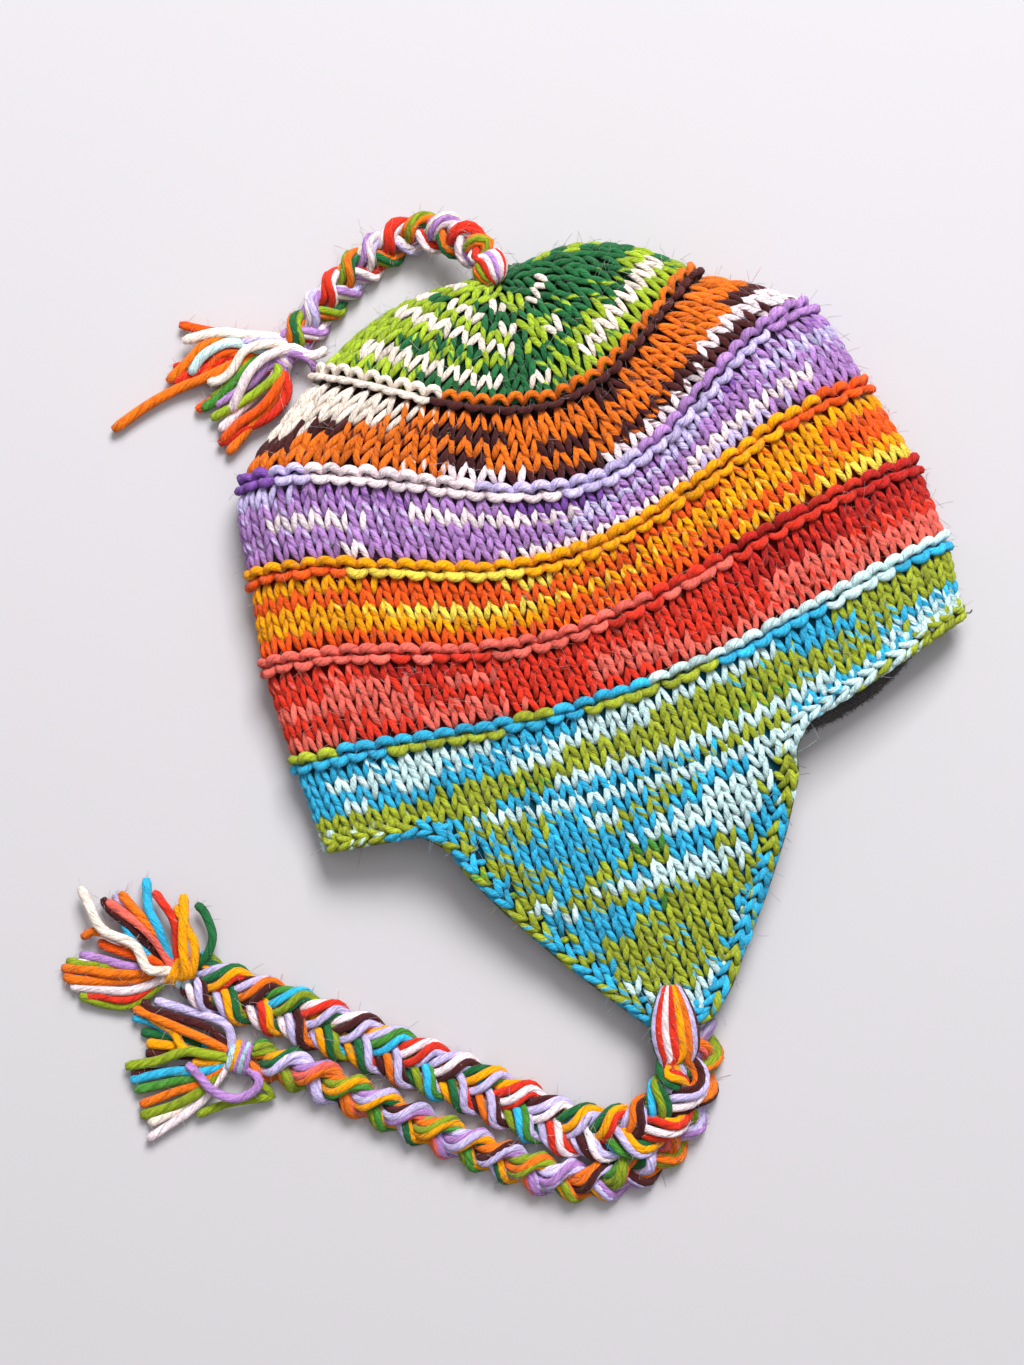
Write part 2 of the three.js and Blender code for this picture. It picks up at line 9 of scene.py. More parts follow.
import bpy
import numpy as np
from bpy.props import FloatProperty, FloatVectorProperty, PointerProperty
from mathutils import Matrix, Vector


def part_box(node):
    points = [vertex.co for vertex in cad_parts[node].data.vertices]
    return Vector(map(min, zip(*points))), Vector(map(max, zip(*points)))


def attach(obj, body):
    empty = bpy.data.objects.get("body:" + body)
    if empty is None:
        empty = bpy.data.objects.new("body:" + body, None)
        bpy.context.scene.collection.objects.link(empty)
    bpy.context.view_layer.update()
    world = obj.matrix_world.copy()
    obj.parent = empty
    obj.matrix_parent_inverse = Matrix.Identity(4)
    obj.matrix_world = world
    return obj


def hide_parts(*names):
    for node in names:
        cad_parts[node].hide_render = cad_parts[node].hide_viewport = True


bl_info = {
    "name": "Earflap beanie",
    "version": (1, 0, 0),
    "blender": (4, 5, 0),
    "location": "3D View > Sidebar > Beanie",
    "description": "Knitted stitches, edging, lining, braids and tassels of an earflap beanie",
    "category": "Object",
}

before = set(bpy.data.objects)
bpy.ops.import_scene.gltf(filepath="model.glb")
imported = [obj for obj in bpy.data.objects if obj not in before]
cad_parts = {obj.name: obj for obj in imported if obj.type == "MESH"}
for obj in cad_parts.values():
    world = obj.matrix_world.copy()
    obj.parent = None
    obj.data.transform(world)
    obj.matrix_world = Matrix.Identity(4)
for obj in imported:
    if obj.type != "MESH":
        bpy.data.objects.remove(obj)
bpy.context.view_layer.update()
TURN = 2 * math.pi
MM = 0.001


def linear(code):
    """Linear colour of an sRGB hex value."""
    parts = [int(code[at : at + 2], 16) / 255 for at in (1, 3, 5)]
    return tuple(p / 12.92 if p <= 0.04045 else ((p + 0.055) / 1.055) ** 2.4 for p in parts)


# ---- Curves


def unit(vectors):
    return vectors / np.maximum(np.linalg.norm(vectors, axis=-1, keepdims=True), 1e-9)


def smoothstep(t):
    return t * t * (3 - 2 * t)


def catmull_rom(a, b, c, d, t):
    """Points from b to c at shares t, on a smooth curve through a, b, c and d."""
    return b + (t * (c - a) + t**2 * (2 * a - 5 * b + 4 * c - d) + t**3 * (3 * b - a - 3 * c + d)) / 2


def length_along(points):
    """Length of a line up to each of its points."""
    step = np.linalg.norm(np.diff(points, axis=0), axis=1)
    return np.concatenate([[0], np.cumsum(step)])


def sampled(lengths, run, points):
    """Points at lengths along a line whose points lie at the lengths run."""
    return np.stack([np.interp(lengths, run, points[:, axis]) for axis in range(3)], -1)


def smooth_line(route, count):
    """Points evenly spaced on a smooth curve through a route."""
    route = np.asarray(route, float)
    padded = np.concatenate([[2 * route[0] - route[1]], route, [2 * route[-1] - route[-2]]])
    t = np.linspace(0, len(route) - 1, 40 * len(route))
    k = np.minimum(t.astype(int), len(route) - 2)
    dense = catmull_rom(*(padded[k + shift] for shift in range(4)), (t - k)[:, None])
    run = length_along(dense)
    return sampled(np.linspace(0, run[-1], count), run, dense)


# ---- Form of the cap and its flaps, with the values of the part's source

RIM_WIDTH = 269.6
CAP_HEIGHT = 197
CAP_DEPTH = 48
FOLD_HEIGHT = 13
KNIT_WALL = 4.6
FLAP_WIDTH = 135
FLAP_LENGTH = 95.5
FLAP_CENTRE = -18
FLAP_FLARE = 9
FLARE_END = 0.13
FLAP_DROOP = 4
FLAP_TUCK = 1.5
FLAP_TOP = 17
TRIM_WIDTH = 7
TRIM_THICKNESS = 4.6
LINING_THICKNESS = 2
LINING_SHOW = 3.5
CLEARANCE = 0.3
SHOW_MIDDLE = 0.64  # turn at which the lining shows most under the rim
SHOW_REACH = 0.1  # how far it shows to each side of that, in turns
HALF_RIM = RIM_WIDTH / 2

# Columns: left, leftUp, right, rightUp, low, sag, under, bow, roof, fold
RINGS = np.array([
    (-1, 0.037, 1, 0.04, 0.15, 0.1, 0.11, 0.6, 0.63, 1),
    (-1, 0.2, 1.022, 0.177, 0, 0.079, 0.08, 0.7, 0.72, 1),
    (-0.985, 0.404, 1.015, 0.34, -0.15, 0.117, 0.09, 1, 0.8, 1.04),
    (-0.935, 0.58, 0.957, 0.525, -0.06, 0.152, 0.09, 1, 0.88, 1.08),
    (-0.866, 0.762, 0.878, 0.71, 0.094, 0.211, 0.09, 1, 0.95, 1.15),
    (-0.548, 0.917, 0.599, 0.851, 0.063, 0.183, 0.09, 0.6, 1, 1.25),
])
SHOULDER = np.array((-0.223, 1.04, 0.371, 1.04, 0.056, 0.198, -0.05, 1, 0.92, 1))
APEX = np.array((HALF_RIM * 0.047, CAP_HEIGHT * 0.963, CAP_DEPTH * 0.6))
ROUNDNESS = 2.5  # exponent of the puff over a ring's chord
PRESS = 1.12  # how far the under layer is pressed below the folds, over 1 so that it lies flat
SEAM = len(RINGS) - 1  # place of the crown's seam

# Columns: down, half, drift
FLAP_ROWS = np.array([
    (0, 1, 0), (0.2, 0.933, 0.006), (0.4, 0.766, -0.007), (0.6, 0.573, -0.025),
    (0.8, 0.359, -0.047), (0.92, 0.23, -0.058), (1, 0.12, -0.082),
])


def ring_at(v):
    """Rows of RINGS at places v, joined smoothly."""
    start = np.clip(np.floor(v), 0, SEAM - 1).astype(int)
    t = (v - start)[:, None]
    b, c = RINGS[start], RINGS[start + 1]
    a = np.where(start[:, None] > 0, RINGS[np.maximum(start - 1, 0)], 2 * b - c)
    d = np.where(start[:, None] + 1 < SEAM, RINGS[np.minimum(start + 2, SEAM)], 2 * c - b)
    return catmull_rom(a, b, c, d, t)


def ring_point(ring, turn):
    """Points of rings: a turn runs over the upper layer to one half, and back under the hat."""
    left, left_up, right, right_up, low, sag, under, bow, roof, fold = ring.T
    upper = turn < 0.5
    side = -np.cos(TURN * turn)
    share = (side + 1) / 2
    x = left + (right - left) * share
    edge = np.where(x < low, left, right)
    reach = np.clip((x - low) / (edge - low), 0, 1)
    hang = ((1 + np.cos(math.pi * reach)) / 2) ** bow
    up = left_up + (right_up - left_up) * share - hang * np.where(upper, sag, under)
    puff = np.maximum(0, 1 - np.abs(side) ** ROUNDNESS) ** (1 / ROUNDNESS)
    rest = FOLD_HEIGHT * fold
    z = np.where(upper, rest + (CAP_DEPTH * roof - rest) * puff, rest * (1 - PRESS * puff))
    return np.stack([HALF_RIM * x, CAP_HEIGHT * up, z], -1)


def cap_point(v, turn):
    """Points of the cap's nominal outer surface, from the rim at v = 0 to the apex at SEAM + 1."""
    v, turn = np.broadcast_arrays(np.asarray(v, float), np.asarray(turn, float) % 1)
    shape = v.shape
    v, turn = v.ravel(), turn.ravel()
    point = ring_point(ring_at(np.minimum(v, SEAM)), turn)
    w = np.clip(v - SEAM, 0, 1)[:, None]
    lean = ring_point(np.broadcast_to(SHOULDER, (len(v), len(SHOULDER))), turn)
    point = (1 - w) ** 2 * point + 2 * w * (1 - w) * lean + w**2 * APEX
    point[:, 2] = np.maximum(0, point[:, 2])
    return point.reshape(*shape, 3)


def cap_normal(v, turn, step=2e-3):
    """Directions out of the cap's surface."""
    along = cap_point(v, turn + step) - cap_point(v, turn - step)
    low = np.clip(v - step, -1, SEAM + 1 - 2 * step)
    up = cap_point(low + 2 * step, turn) - cap_point(low, turn)
    return unit(np.cross(along, up))


def rim_turn(x, upper):
    """The turn at which the rim passes x."""
    side = np.clip(x / HALF_RIM, -1, 1)
    turn = np.arccos(-side) / TURN
    return turn if upper else 1 - turn


# How high the rim is at the middle of each flap: the upper one True, the lower one False
RIM_MIDDLE = {upper: cap_point(0, rim_turn(FLAP_CENTRE, upper))[1] for upper in (True, False)}
EDGE_REACH = 1.2  # how far past its edge a flap's droop is followed, in half widths


def flap_half(upper, down):
    """Half the width of a flap and its middle, at a share of its length."""
    half = FLAP_WIDTH / 2 * np.interp(down, FLAP_ROWS[:, 0], FLAP_ROWS[:, 1])
    half = half + FLAP_FLARE * np.maximum(0, 1 - down / FLARE_END) ** 2
    middle = FLAP_CENTRE + FLAP_WIDTH / 2 * np.interp(down, FLAP_ROWS[:, 0], FLAP_ROWS[:, 2])
    return half - (0 if upper else FLAP_TUCK) * down, middle


def flap_point(upper, x, down):
    """Points of a flap's outer face at x and at a share of its length."""
    x, down = np.broadcast_arrays(np.asarray(x, float), np.asarray(down, float))
    half, middle = flap_half(upper, down)
    across = np.clip((x - middle) / half, -EDGE_REACH, EDGE_REACH)
    root = cap_point(0, rim_turn(x, upper))
    length = FLAP_LENGTH
    if not upper:
        length += RIM_MIDDLE[False] - RIM_MIDDLE[True] - FLAP_TUCK
    y = root[..., 1] + (RIM_MIDDLE[upper] - root[..., 1]) * down - CLEARANCE - down * length
    t = np.clip(down, 0, 1)
    goal = FLAP_TOP if upper else 0
    z = root[..., 2] + (goal - root[..., 2]) * smoothstep(t)
    if upper:
        z = z - FLAP_DROOP * across**2 * np.sin(math.pi * t)
    return np.stack([x, y, z], -1)


def row_shift():
    """Where the cap's own frame lies in the row's frame, from the upper flap's middle and tip."""
    low, high = (np.array(corner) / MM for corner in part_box("earflap_upper"))
    tip = flap_point(True, FLAP_CENTRE, 1.0)[1]
    return np.array(((low[0] + high[0]) / 2 - FLAP_CENTRE, low[1] - tip, 0))


SHIFT = row_shift()
FLOOR_GAP = 0.05
UP = np.array((0, 0, 1.0))


def placed(points):
    """Points in metres in the row's frame, kept just off the floor."""
    points = np.asarray(points, float) + SHIFT
    points[..., 2] = np.maximum(points[..., 2], FLOOR_GAP)
    return points * MM


# ---- Meshes made of strands


RUN_SPREAD = 200  # mm by which the start of the twist differs from strand to strand
HAIR = 0.075  # half the thickness of a loose fibre, in mm
HAIR_STATIONS = 4
HAIR_DYED = 0.55  # share of a fibre's colour that is its yarn's
HAIR_PALE = np.array((0.9, 0.88, 0.86))


class Weave:
    """Collects closed strands and sheets of yarn and makes them one mesh."""

    def __init__(self, seed):
        self.rng = np.random.default_rng(seed)
        self.parts = {key: [] for key in ("points", "quads", "tris", "ply_a", "ply_b", "round")}
        self.count = 0

    def keep(self, points, quads, tris, ply_a, ply_b, around):
        """Adds a mesh, with the two dyes of its points and their places round their strand."""
        rows = (points, quads + self.count, tris + self.count, ply_a, ply_b, around)
        for (key, kept), values in zip(self.parts.items(), rows):
            kept.append(values.reshape(-1, 4 if key == "quads" else 3))
        self.count += len(self.parts["points"][-1])

    def strands(self, lines, facing, wide, high, ply_a, ply_b, sides=7, blunt=0.35):
        """Closed strands. lines and facing are N x M x 3, wide and high N x M, plies N x 3."""
        n, m, _ = lines.shape
        facing = np.broadcast_to(facing, lines.shape)
        wide = np.broadcast_to(wide, (n, m))
        high = np.broadcast_to(high, (n, m))
        tangent = unit(np.gradient(lines, axis=1))
        side = unit(np.cross(tangent, facing))
        up = np.cross(side, tangent)
        angle = TURN * (np.arange(sides) + 0.5) / sides
        cos, sin = np.cos(angle), np.sin(angle)
        rings = (
            lines[:, :, None]
            + wide[:, :, None, None] * cos[:, None] * side[:, :, None]
            + high[:, :, None, None] * sin[:, None] * up[:, :, None]
        )
        first = lines[:, 0] - tangent[:, 0] * (blunt * wide[:, 0])[:, None]
        last = lines[:, -1] + tangent[:, -1] * (blunt * wide[:, -1])[:, None]
        each = m * sides + 2
        points = np.concatenate([rings.reshape(n, -1, 3), first[:, None], last[:, None]], 1)
        base = (np.arange(n) * each)[:, None, None]
        row = np.arange(m - 1)[:, None] * sides
        col = np.arange(sides)
        nxt = (col + 1) % sides
        quad = np.stack([row + col, row + sides + col, row + sides + nxt, row + nxt], -1)
        quads = base[..., None] + quad
        end = (m - 1) * sides
        start_cap = np.stack([np.full(sides, m * sides), col, nxt], -1)
        end_cap = np.stack([np.full(sides, m * sides + 1), end + nxt, end + col], -1)
        tris = base + np.concatenate([start_cap, end_cap])
        step = np.linalg.norm(np.diff(lines, axis=1), axis=-1)
        run = np.concatenate([np.zeros((n, 1)), np.cumsum(step, 1)], 1)
        run = run + self.rng.uniform(0, RUN_SPREAD, (n, 1))
        around = np.zeros((n, each, 3))
        around[:, : m * sides, 0] = np.tile(cos, m)
        around[:, : m * sides, 1] = np.tile(sin, m)
        around[:, : m * sides, 2] = np.repeat(run, sides, 1)
        around[:, m * sides :, 2] = run[:, [0, -1]]
        spread = np.ones((n, each, 1))
        self.keep(points, quads, tris, ply_a[:, None] * spread, ply_b[:, None] * spread, around)

    def fuzz(self, lines, facing, ply, share, reach=4.5):
        """Loose fibres that stand off a share of the given strands."""
        rng = self.rng
        n, m, _ = lines.shape
        count = int(n * share)
        if not count:
            return
        pick = rng.integers(0, n, count)
        at = rng.integers(1, m - 1, count)
        facing = np.broadcast_to(facing, lines.shape)[pick, at]
        root = lines[pick, at] + 0.5 * facing
        heading = unit(rng.normal(0, 1, (count, 3)) + 0.6 * facing)
        curl = rng.normal(0, 0.55, (count, 1, 3))
        p = np.linspace(0, 1, HAIR_STATIONS)[:, None]
        length = reach * rng.uniform(0.5, 1.4, (count, 1, 1))
        bow = curl - 0.35 * facing[:, None]
        hairs = root[:, None] + length * (heading[:, None] * p + bow * p**2)
        colour = HAIR_DYED * ply[pick] + (1 - HAIR_DYED) * HAIR_PALE
        self.strands(hairs, np.array((0.3, 0.5, 0.81)), HAIR, HAIR, colour, colour, sides=3)

    def wrap_sheet(self, rings, ply, ends=None):
        """Closed sheet through R rings of C points. Without ends its last ring joins its first."""
        r, c, _ = rings.shape
        rows = np.arange(r - 1 if ends is not None else r)[:, None]
        col = np.arange(c)
        nxt = (col + 1) % c
        after = (rows + 1) % r
        quads = np.stack([rows * c + col, rows * c + nxt, after * c + nxt, after * c + col], -1)
        points = rings.reshape(-1, 3)
        tris = np.zeros((0, 3), int)
        ply = np.broadcast_to(ply, rings.shape).reshape(-1, 3)
        if ends is not None:
            points = np.concatenate([points, ends])
            ply = np.concatenate([ply, ply[:1], ply[-1:]])
            last = (r - 1) * c
            tris = np.concatenate([
                np.stack([np.full(c, r * c), nxt, col], -1),
                np.stack([np.full(c, r * c + 1), last + col, last + nxt], -1),
            ])
        around = np.zeros(points.shape)
        around[:, 2] = points[:, 0] + points[:, 1]
        self.keep(points, quads, tris, ply, ply, around)

    def mesh(self, name, material):
        """Object of everything that was collected, in the row's frame."""
        parts = {key: np.concatenate(values) for key, values in self.parts.items()}
        points, quads, tris = placed(parts["points"]), parts["quads"], parts["tris"]
        loops = np.concatenate([quads.ravel(), tris.ravel()]).astype(np.int32)
        starts = np.concatenate([
            np.arange(len(quads)) * 4,
            len(quads) * 4 + np.arange(len(tris)) * 3,
        ]).astype(np.int32)
        mesh = bpy.data.meshes.new(name)
        mesh.vertices.add(len(points))
        mesh.vertices.foreach_set("co", points.astype(np.float32).ravel())
        mesh.loops.add(len(loops))
        mesh.loops.foreach_set("vertex_index", loops)
        mesh.polygons.add(len(starts))
        mesh.polygons.foreach_set("loop_start", starts)
        mesh.update(calc_edges=True)
        for key in ("ply_a", "ply_b"):
            layer = mesh.attributes.new(key, "FLOAT_COLOR", "POINT")
            colours = np.pad(parts[key], ((0, 0), (0, 1)), constant_values=1)
            layer.data.foreach_set("color", colours.astype(np.float32).ravel())
        layer = mesh.attributes.new("round", "FLOAT_VECTOR", "POINT")
        layer.data.foreach_set("vector", parts["round"].astype(np.float32).ravel())
        mesh.shade_smooth()
        mesh.materials.append(material)
        obj = bpy.data.objects.new(name, mesh)
        bpy.context.scene.collection.objects.link(obj)
        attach(obj, "root")
        return obj


# ---- Colours and charts

# Letters of the charts, and the names of their colours
LETTERS = {
    "d": "dark_green", "l": "lime", "c": "cream", "o": "orange", "m": "maroon", "p": "lilac",
    "v": "lavender", "w": "blush", "y": "amber", "r": "flame", "t": "straw", "R": "red",
    "K": "deep_red", "C": "coral", "s": "sky", "i": "ice", "g": "olive", "G": "green",
    "L": "leaf", "V": "violet", "k": "charcoal", "b": "soft_blue",
}


def dye(letter):
    return np.array(getattr(bpy.context.scene.hat_colours, LETTERS[letter])[:])


def read_chart(chart):
    """Runs of a chart: shares at which they end, and the dyes of their two plies."""
    letters = "".join(LETTERS)
    runs = [(int(run.rstrip(letters)), run.lstrip("0123456789")) for run in chart.split()]
    ends = np.cumsum([count for count, _ in runs]).astype(float)
    ply_a = np.array([dye(plies[0]) for _, plies in runs])
    ply_b = np.array([dye(plies[-1]) for _, plies in runs])
    return ends / ends[-1], ply_a, ply_b


def dyed(chart, places, rng, stray=0.012, shade=0.12):
    """Plies at places from 0 to 1 along a chart, with small differences from stitch to stitch."""
    ends, ply_a, ply_b = read_chart(chart)
    places = np.clip(places + rng.normal(0, stray, np.shape(places)), 0, 0.9999)
    run = np.searchsorted(ends, places, side="right")
    tone = 1 + rng.normal(0, shade, (len(places), 1))
    return ply_a[run] * tone, ply_b[run] * tone


# Bands from the rim to the seam. Each has the chart of the purl ridge at its top and those of its
# courses from the top down, read over the upper layer from the left fold to the right one.
BANDS = [
    {
        "name": "blue_band", "ridge": "2gs 3s 8sg 3gs 6sg 3ig 9is 4i 3is", "under": "s",
        "rows": [
            "3s 3si 6i 5s 8i 6i 4s 9g", "2s 7i 6si 6i 5g 5gs 3s 8g", "4s 2i 5s 3i 10g 6g 4gs 4g",
            "2s 1i 4s 3g 12g 5gG 6gs 5si", "6g 5g 3gG 11i 6i 4g 5is", "4gi 6g 8s 5sg 5g 8s 4i",
        ],
    },
    {
        "name": "red_band", "ridge": "8C 4CR 6C 4CR 5RC 4KR 4R 3K", "under": "R",
        "rows": [
            "6RC 4K 10R 3RC 4R 8KR 6K", "2R 4C 3R 2C 5R 4RC 5R 4K 8KR", "7C 9R 4CR 6R 5C 5RC",
            "4R 8CR 5R 6C 5R 6CR 5C", "3C 4R 5C 9R 6C 5CR 6C",
        ],
    },
    {
        "name": "orange_band", "ridge": "6yr 9yt 9y 8y 3yr 3r", "under": "r",
        "rows": [
            "6y 8r 3t 4yr 6r 5yr 6y", "12r 8r 4yr 8y 4r", "4y 4yt 8t 8yt 4yr 6yt 3yr 4r",
            "8y 8y 4r 5ry 8r 5yr", "14r 5ry 5r 6yt 5t",
        ],
    },
    {
        "name": "lilac_band", "ridge": "2V 3v 9w 6vw 6v 10pv 4p", "under": "p",
        "rows": [
            "3v 7pV 5p 6V 4pV 4v 2Vp 4pv 3pV", "9pv 7w 3wp 8v 5p 5v", "1p 5w 4pv 6p 3v 9p 6pv",
            "6pv 6p 7pv 3p 7w 3p", "5p 2w 7p 5w 7wv 5v 6p",
        ],
    },
    {
        "name": "brown_band", "ridge": "9c 12om 16om", "under": "m", "bulk": 0.82,
        "rows": [
            "8c 3oc 4om 8o 2m 12o", "7c 3om 4m 9o 3om 10o", "2c 3m 4om 8o 4m 3om 10o 3m",
            "2m 9o 3m 8o 5mo 3m 7w", "10o 3ow 4w 6m 4w 4wm 6m 3wm",
        ],
    },
]
# Courses of the crown from its seam up
CROWN_CHARTS = [
    "2l 2ld 8d 2dl 2l 3ld 3l 2ld", "1l 9c 2d 2c 2l 9c 1d", "2l 3dl 3ld 4d 3dl 4l 3dl 3l",
    "4l 2dl 1d 3ld 2d 3dl 3d 2dl 3d", "1l 8c 1d 2l 2c 2dl 6d", "3l 2ld 3l 2d 2l 2dl 5d 1l",
    "1c 2d 2c 1d 2c 2l 1d 1c 4d 2l", "3l 1dl 3d 1c 2d 2c 4d", "1c 3l 2c 2l 5d 1l", "4l 2ld 6d", "2l 5d",
]
# Courses of a flap from its root down
FLAP_CHARTS = [
    "2s 2gs 22i 2ig", "2gs 4g 4sg 4s 4gs 4s 3i", "3sg 4g 3s 2i 4gs 4s 6i 1s", "2s 4sg 4s 3gs 3s 9i 1g",
    "3gs 4s 3sg 3s 2i 9i 2s", "3g 4sg 5s 2G 4s 3i 3s", "2s 4gs 3s 4g 4s 3g 3s", "3gs 4s 3gs 3s 4i 6i 2s",
    "3g 2s 2gs 9i 4i 2g", "2i 3gs 5g 4gs 5g 2s", "2s 1i 3sg 4s 2G 5g 3gs", "3s 4s 3gs 5g 3g 2s",
    "2gs 4s 4g 4gs 3g 2i", "2s 3gs 4g 3gs 3g 2s", "2gs 3g 3gs 3g 2s", "2s 3gs 4g 3gs 1i",
    "2gs 4g 2gs 2i", "2i 3g 2gs 3i", "2i 2g 3i", "1i 2g 3i",
]
# Round the edge of one layer, from the left fold over the flap to the right fold
EDGING_CHART = (
    "3i 4g 3gi 3g 3s 3s 3gs 3s 2gG 4s 3g 3gs 3s 3g 4s 3gs 6s 3s 2gs 4s 3g 4s 3sg 4s 3g 4s 2gi 3g 3ig "
    "6i 3is 5i 2g 4i 3gi 3g"
)

BRAID_DYES = {
    "tie_upper": ["dvRwRy", "ovmwvm", "LsGvyd"],
    "tie_lower": ["LGyLoL", "vdyvpv", "oCpvmo"],
    "top": ["RwpwR", "LoLdo", "pcpvw"],
}


# ---- Materials


def add_node(tree, kind, inputs=(), **properties):
    """Adds a node with its properties, and links or sets its inputs by name or by number."""
    node = tree.nodes.new(kind)
    for key, value in properties.items():
        setattr(node, key, value)
    for key, value in inputs.items() if isinstance(inputs, dict) else enumerate(inputs):
        if isinstance(value, bpy.types.NodeSocket):
            tree.links.new(value, node.inputs[key])
        else:
            node.inputs[key].default_value = value
    return node


def new_material(name, shading):
    """Makes a material from a function that adds its nodes and returns their shader."""
    material = bpy.data.materials.new(name)
    material.use_nodes = True
    tree = material.node_tree
    tree.nodes.clear()
    shader = shading(tree)
    add_node(tree, "ShaderNodeOutputMaterial", {"Surface": shader.outputs[0]})
    return material


NAP_SCALE = 1400.0  # fibres are about 0.03 mm thick, but the nap is drawn at 0.5 mm, so that it shows
DYE_BORDER = (0.75, 1.45)  # where the second dye starts and where it is alone
STREAK_TONES = (1.15, 1.85, 0.66, 1.5)  # range of streaks and nap, and the tones for its ends
GROOVE_SHADE_TONES = (0.0, 0.4, 0.7)  # range of the distance from the groove, and the tone of the painted shade in the groove
GROOVE_DEPTH = 0.8  # against the streaks
RELIEF_DEPTH = 0.0006  # in metres


# Plied wool: twisted singles in two dyes, whose lay is the length of one twist in mm. To the eye it is
# matt, with fine streaks along the twist, painted shade in the grooves between the singles (with bump as
# well), and a soft halo of fibres that catches the light at grazing angles.
def wool_yarn(tree, lay, streak, relief, sheen):
    def maths(operation, *inputs):
        return add_node(tree, "ShaderNodeMath", inputs, operation=operation).outputs[0]

    def attribute(name, output="Color"):
        return add_node(tree, "ShaderNodeAttribute", attribute_name=name).outputs[output]

    def ranged(value, low, high, to_low=0.0, to_high=1.0, kind="LINEAR"):
        inputs = {
            "Value": value, "From Min": low, "From Max": high, "To Min": to_low, "To Max": to_high,
        }
        return add_node(tree, "ShaderNodeMapRange", inputs, interpolation_type=kind).outputs[0]

    # The place round the strand, turned with the twist, splits it in two singles: strand runs from
    # -1 to 1 across them, and the groove between them is at 0
    x, y, run = add_node(tree, "ShaderNodeSeparateXYZ", [attribute("round", "Vector")]).outputs
    twist = maths("MULTIPLY", run, TURN / lay)
    cosine, sine = maths("COSINE", twist), maths("SINE", twist)
    strand = maths("MULTIPLY_ADD", y, sine, maths("MULTIPLY", x, cosine))
    across = maths("SUBTRACT", maths("MULTIPLY", y, cosine), maths("MULTIPLY", x, sine))
    twisted = add_node(tree, "ShaderNodeCombineXYZ", [strand, across, run]).outputs[0]
    stretched = add_node(tree, "ShaderNodeVectorMath", [twisted, streak], operation="MULTIPLY")
    fibres = add_node(
        tree, "ShaderNodeTexNoise",
        {"Vector": stretched.outputs[0], "Scale": 1.0, "Detail": 3.0, "Roughness": 0.65},
    ).outputs[0]
    place = add_node(tree, "ShaderNodeTexCoord").outputs["Object"]
    nap = add_node(
        tree, "ShaderNodeTexNoise",
        {"Vector": place, "Scale": NAP_SCALE, "Detail": 2.0, "Roughness": 0.75},
    ).outputs[0]
    stray = maths("MULTIPLY_ADD", fibres, strand, strand)  # a border that is ragged along the fibres
    blend = add_node(
        tree, "ShaderNodeMix",
        {
            "Factor": ranged(stray, *DYE_BORDER, kind="SMOOTHSTEP"),
            6: attribute("ply_a"), 7: attribute("ply_b"),
        },
        data_type="RGBA",
    ).outputs[2]
    # Darker towards the groove between the singles: painted shade in that recess, besides the streaks'
    # random tone
    groove = maths("ABSOLUTE", strand)
    streaked = maths("MULTIPLY_ADD", fibres, 2.0, nap)
    streak_tone_and_groove_shade = maths("MULTIPLY", ranged(streaked, *STREAK_TONES), ranged(groove, *GROOVE_SHADE_TONES))
    shaded = add_node(tree, "ShaderNodeVectorMath", {0: blend, "Scale": streak_tone_and_groove_shade}, operation="SCALE")
    height = maths("MULTIPLY_ADD", groove, GROOVE_DEPTH, streaked)
    bump = add_node(
        tree, "ShaderNodeBump", {"Height": height, "Strength": relief, "Distance": RELIEF_DEPTH}
    )
    return add_node(
        tree, "ShaderNodeBsdfPrincipled",
        {
            "Base Color": shaded.outputs[0], "Normal": bump.outputs[0], "Roughness": 0.9, "IOR": 1.5,
            "Specular IOR Level": 0.08, "Sheen Weight": sheen, "Sheen Roughness": 0.45,
            "Sheen Tint": (1, 0.97, 0.95, 1),
        },
    )


# Length of a twist in mm, how the streaks are stretched, relief and sheen of each kind of yarn
YARNS = {
    # Two plies with a short twist, in soft round stitches
    "Wool, plied and hand knitted": (9.0, (3.0, 3.0, 0.35), 0.9, 0.1),
    # The same yarn, which looks tighter where the hook has drawn it in
    "Wool, plied and crocheted": (9.0, (3.0, 3.0, 0.35), 0.9, 0.1),
    # Loosely spun: long streaks that run with the braid's strands
    "Wool, soft spun and braided": (22.0, (2.8, 2.8, 0.2), 0.9, 0.1),
    # A dull, fuzzy pile without a direction
    "Polyester fleece, brushed": (40.0, (2.0, 2.0, 2.0), 1.0, 0.5),
}


def material_of(name):
    if name not in bpy.data.materials:
        new_material(name, lambda tree: wool_yarn(tree, *YARNS[name]))
    return bpy.data.materials[name]


# Coated paper, rolled: even, matt and almost white, with no grain at this distance.
def backdrop_paper(tree):
    return add_node(
        tree, "ShaderNodeBsdfPrincipled",
        {
            "Base Color": (*bpy.context.scene.hat_stage.floor_colour, 1), "Roughness": 0.95,
            "Specular IOR Level": 0.2,
        },
    )


# ---- Knitting

SEEDS = {"lining": 60, "edging": 70, "upper_flap": 80, "lower_flap": 81, "crown": 90, "band": 100}
KNITTED = "Wool, plied and hand knitted"
BACK_DEPTH = 2.3  # from the stitches' nominal surface down to the fabric behind them, in mm
# A stitch whose middle is between these turns lies under the hat and has fewer sides and stations
UNDER_START, UNDER_END = 0.53, 0.97
SEEN_SIDES, HIDDEN_SIDES = 6, 4
BELOW_RIM, NEAR_APEX = -0.2, 0.995  # places past which no stitch reaches, from the rim and the seam


def course_turns(v, samples=1200):
    """Turns and shares of the length round a course, for placing stitches evenly, and its length."""
    turns = np.linspace(0, 1, samples + 1)
    run = length_along(cap_point(np.full(samples + 1, v), turns))
    return turns, run / run[-1], run[-1]


def turn_of(places, turns, share):
    """Turns at places that are shares of the length round a course."""
    return np.interp(places % 1, share, turns)


def chart_share(turn):
    """How far across the hat a turn lies, on either layer: 0 at the left fold, 1 at the right one."""
    half = (2 * turn) % 2
    return (1 - np.cos(math.pi * np.minimum(half, 2 - half))) / 2


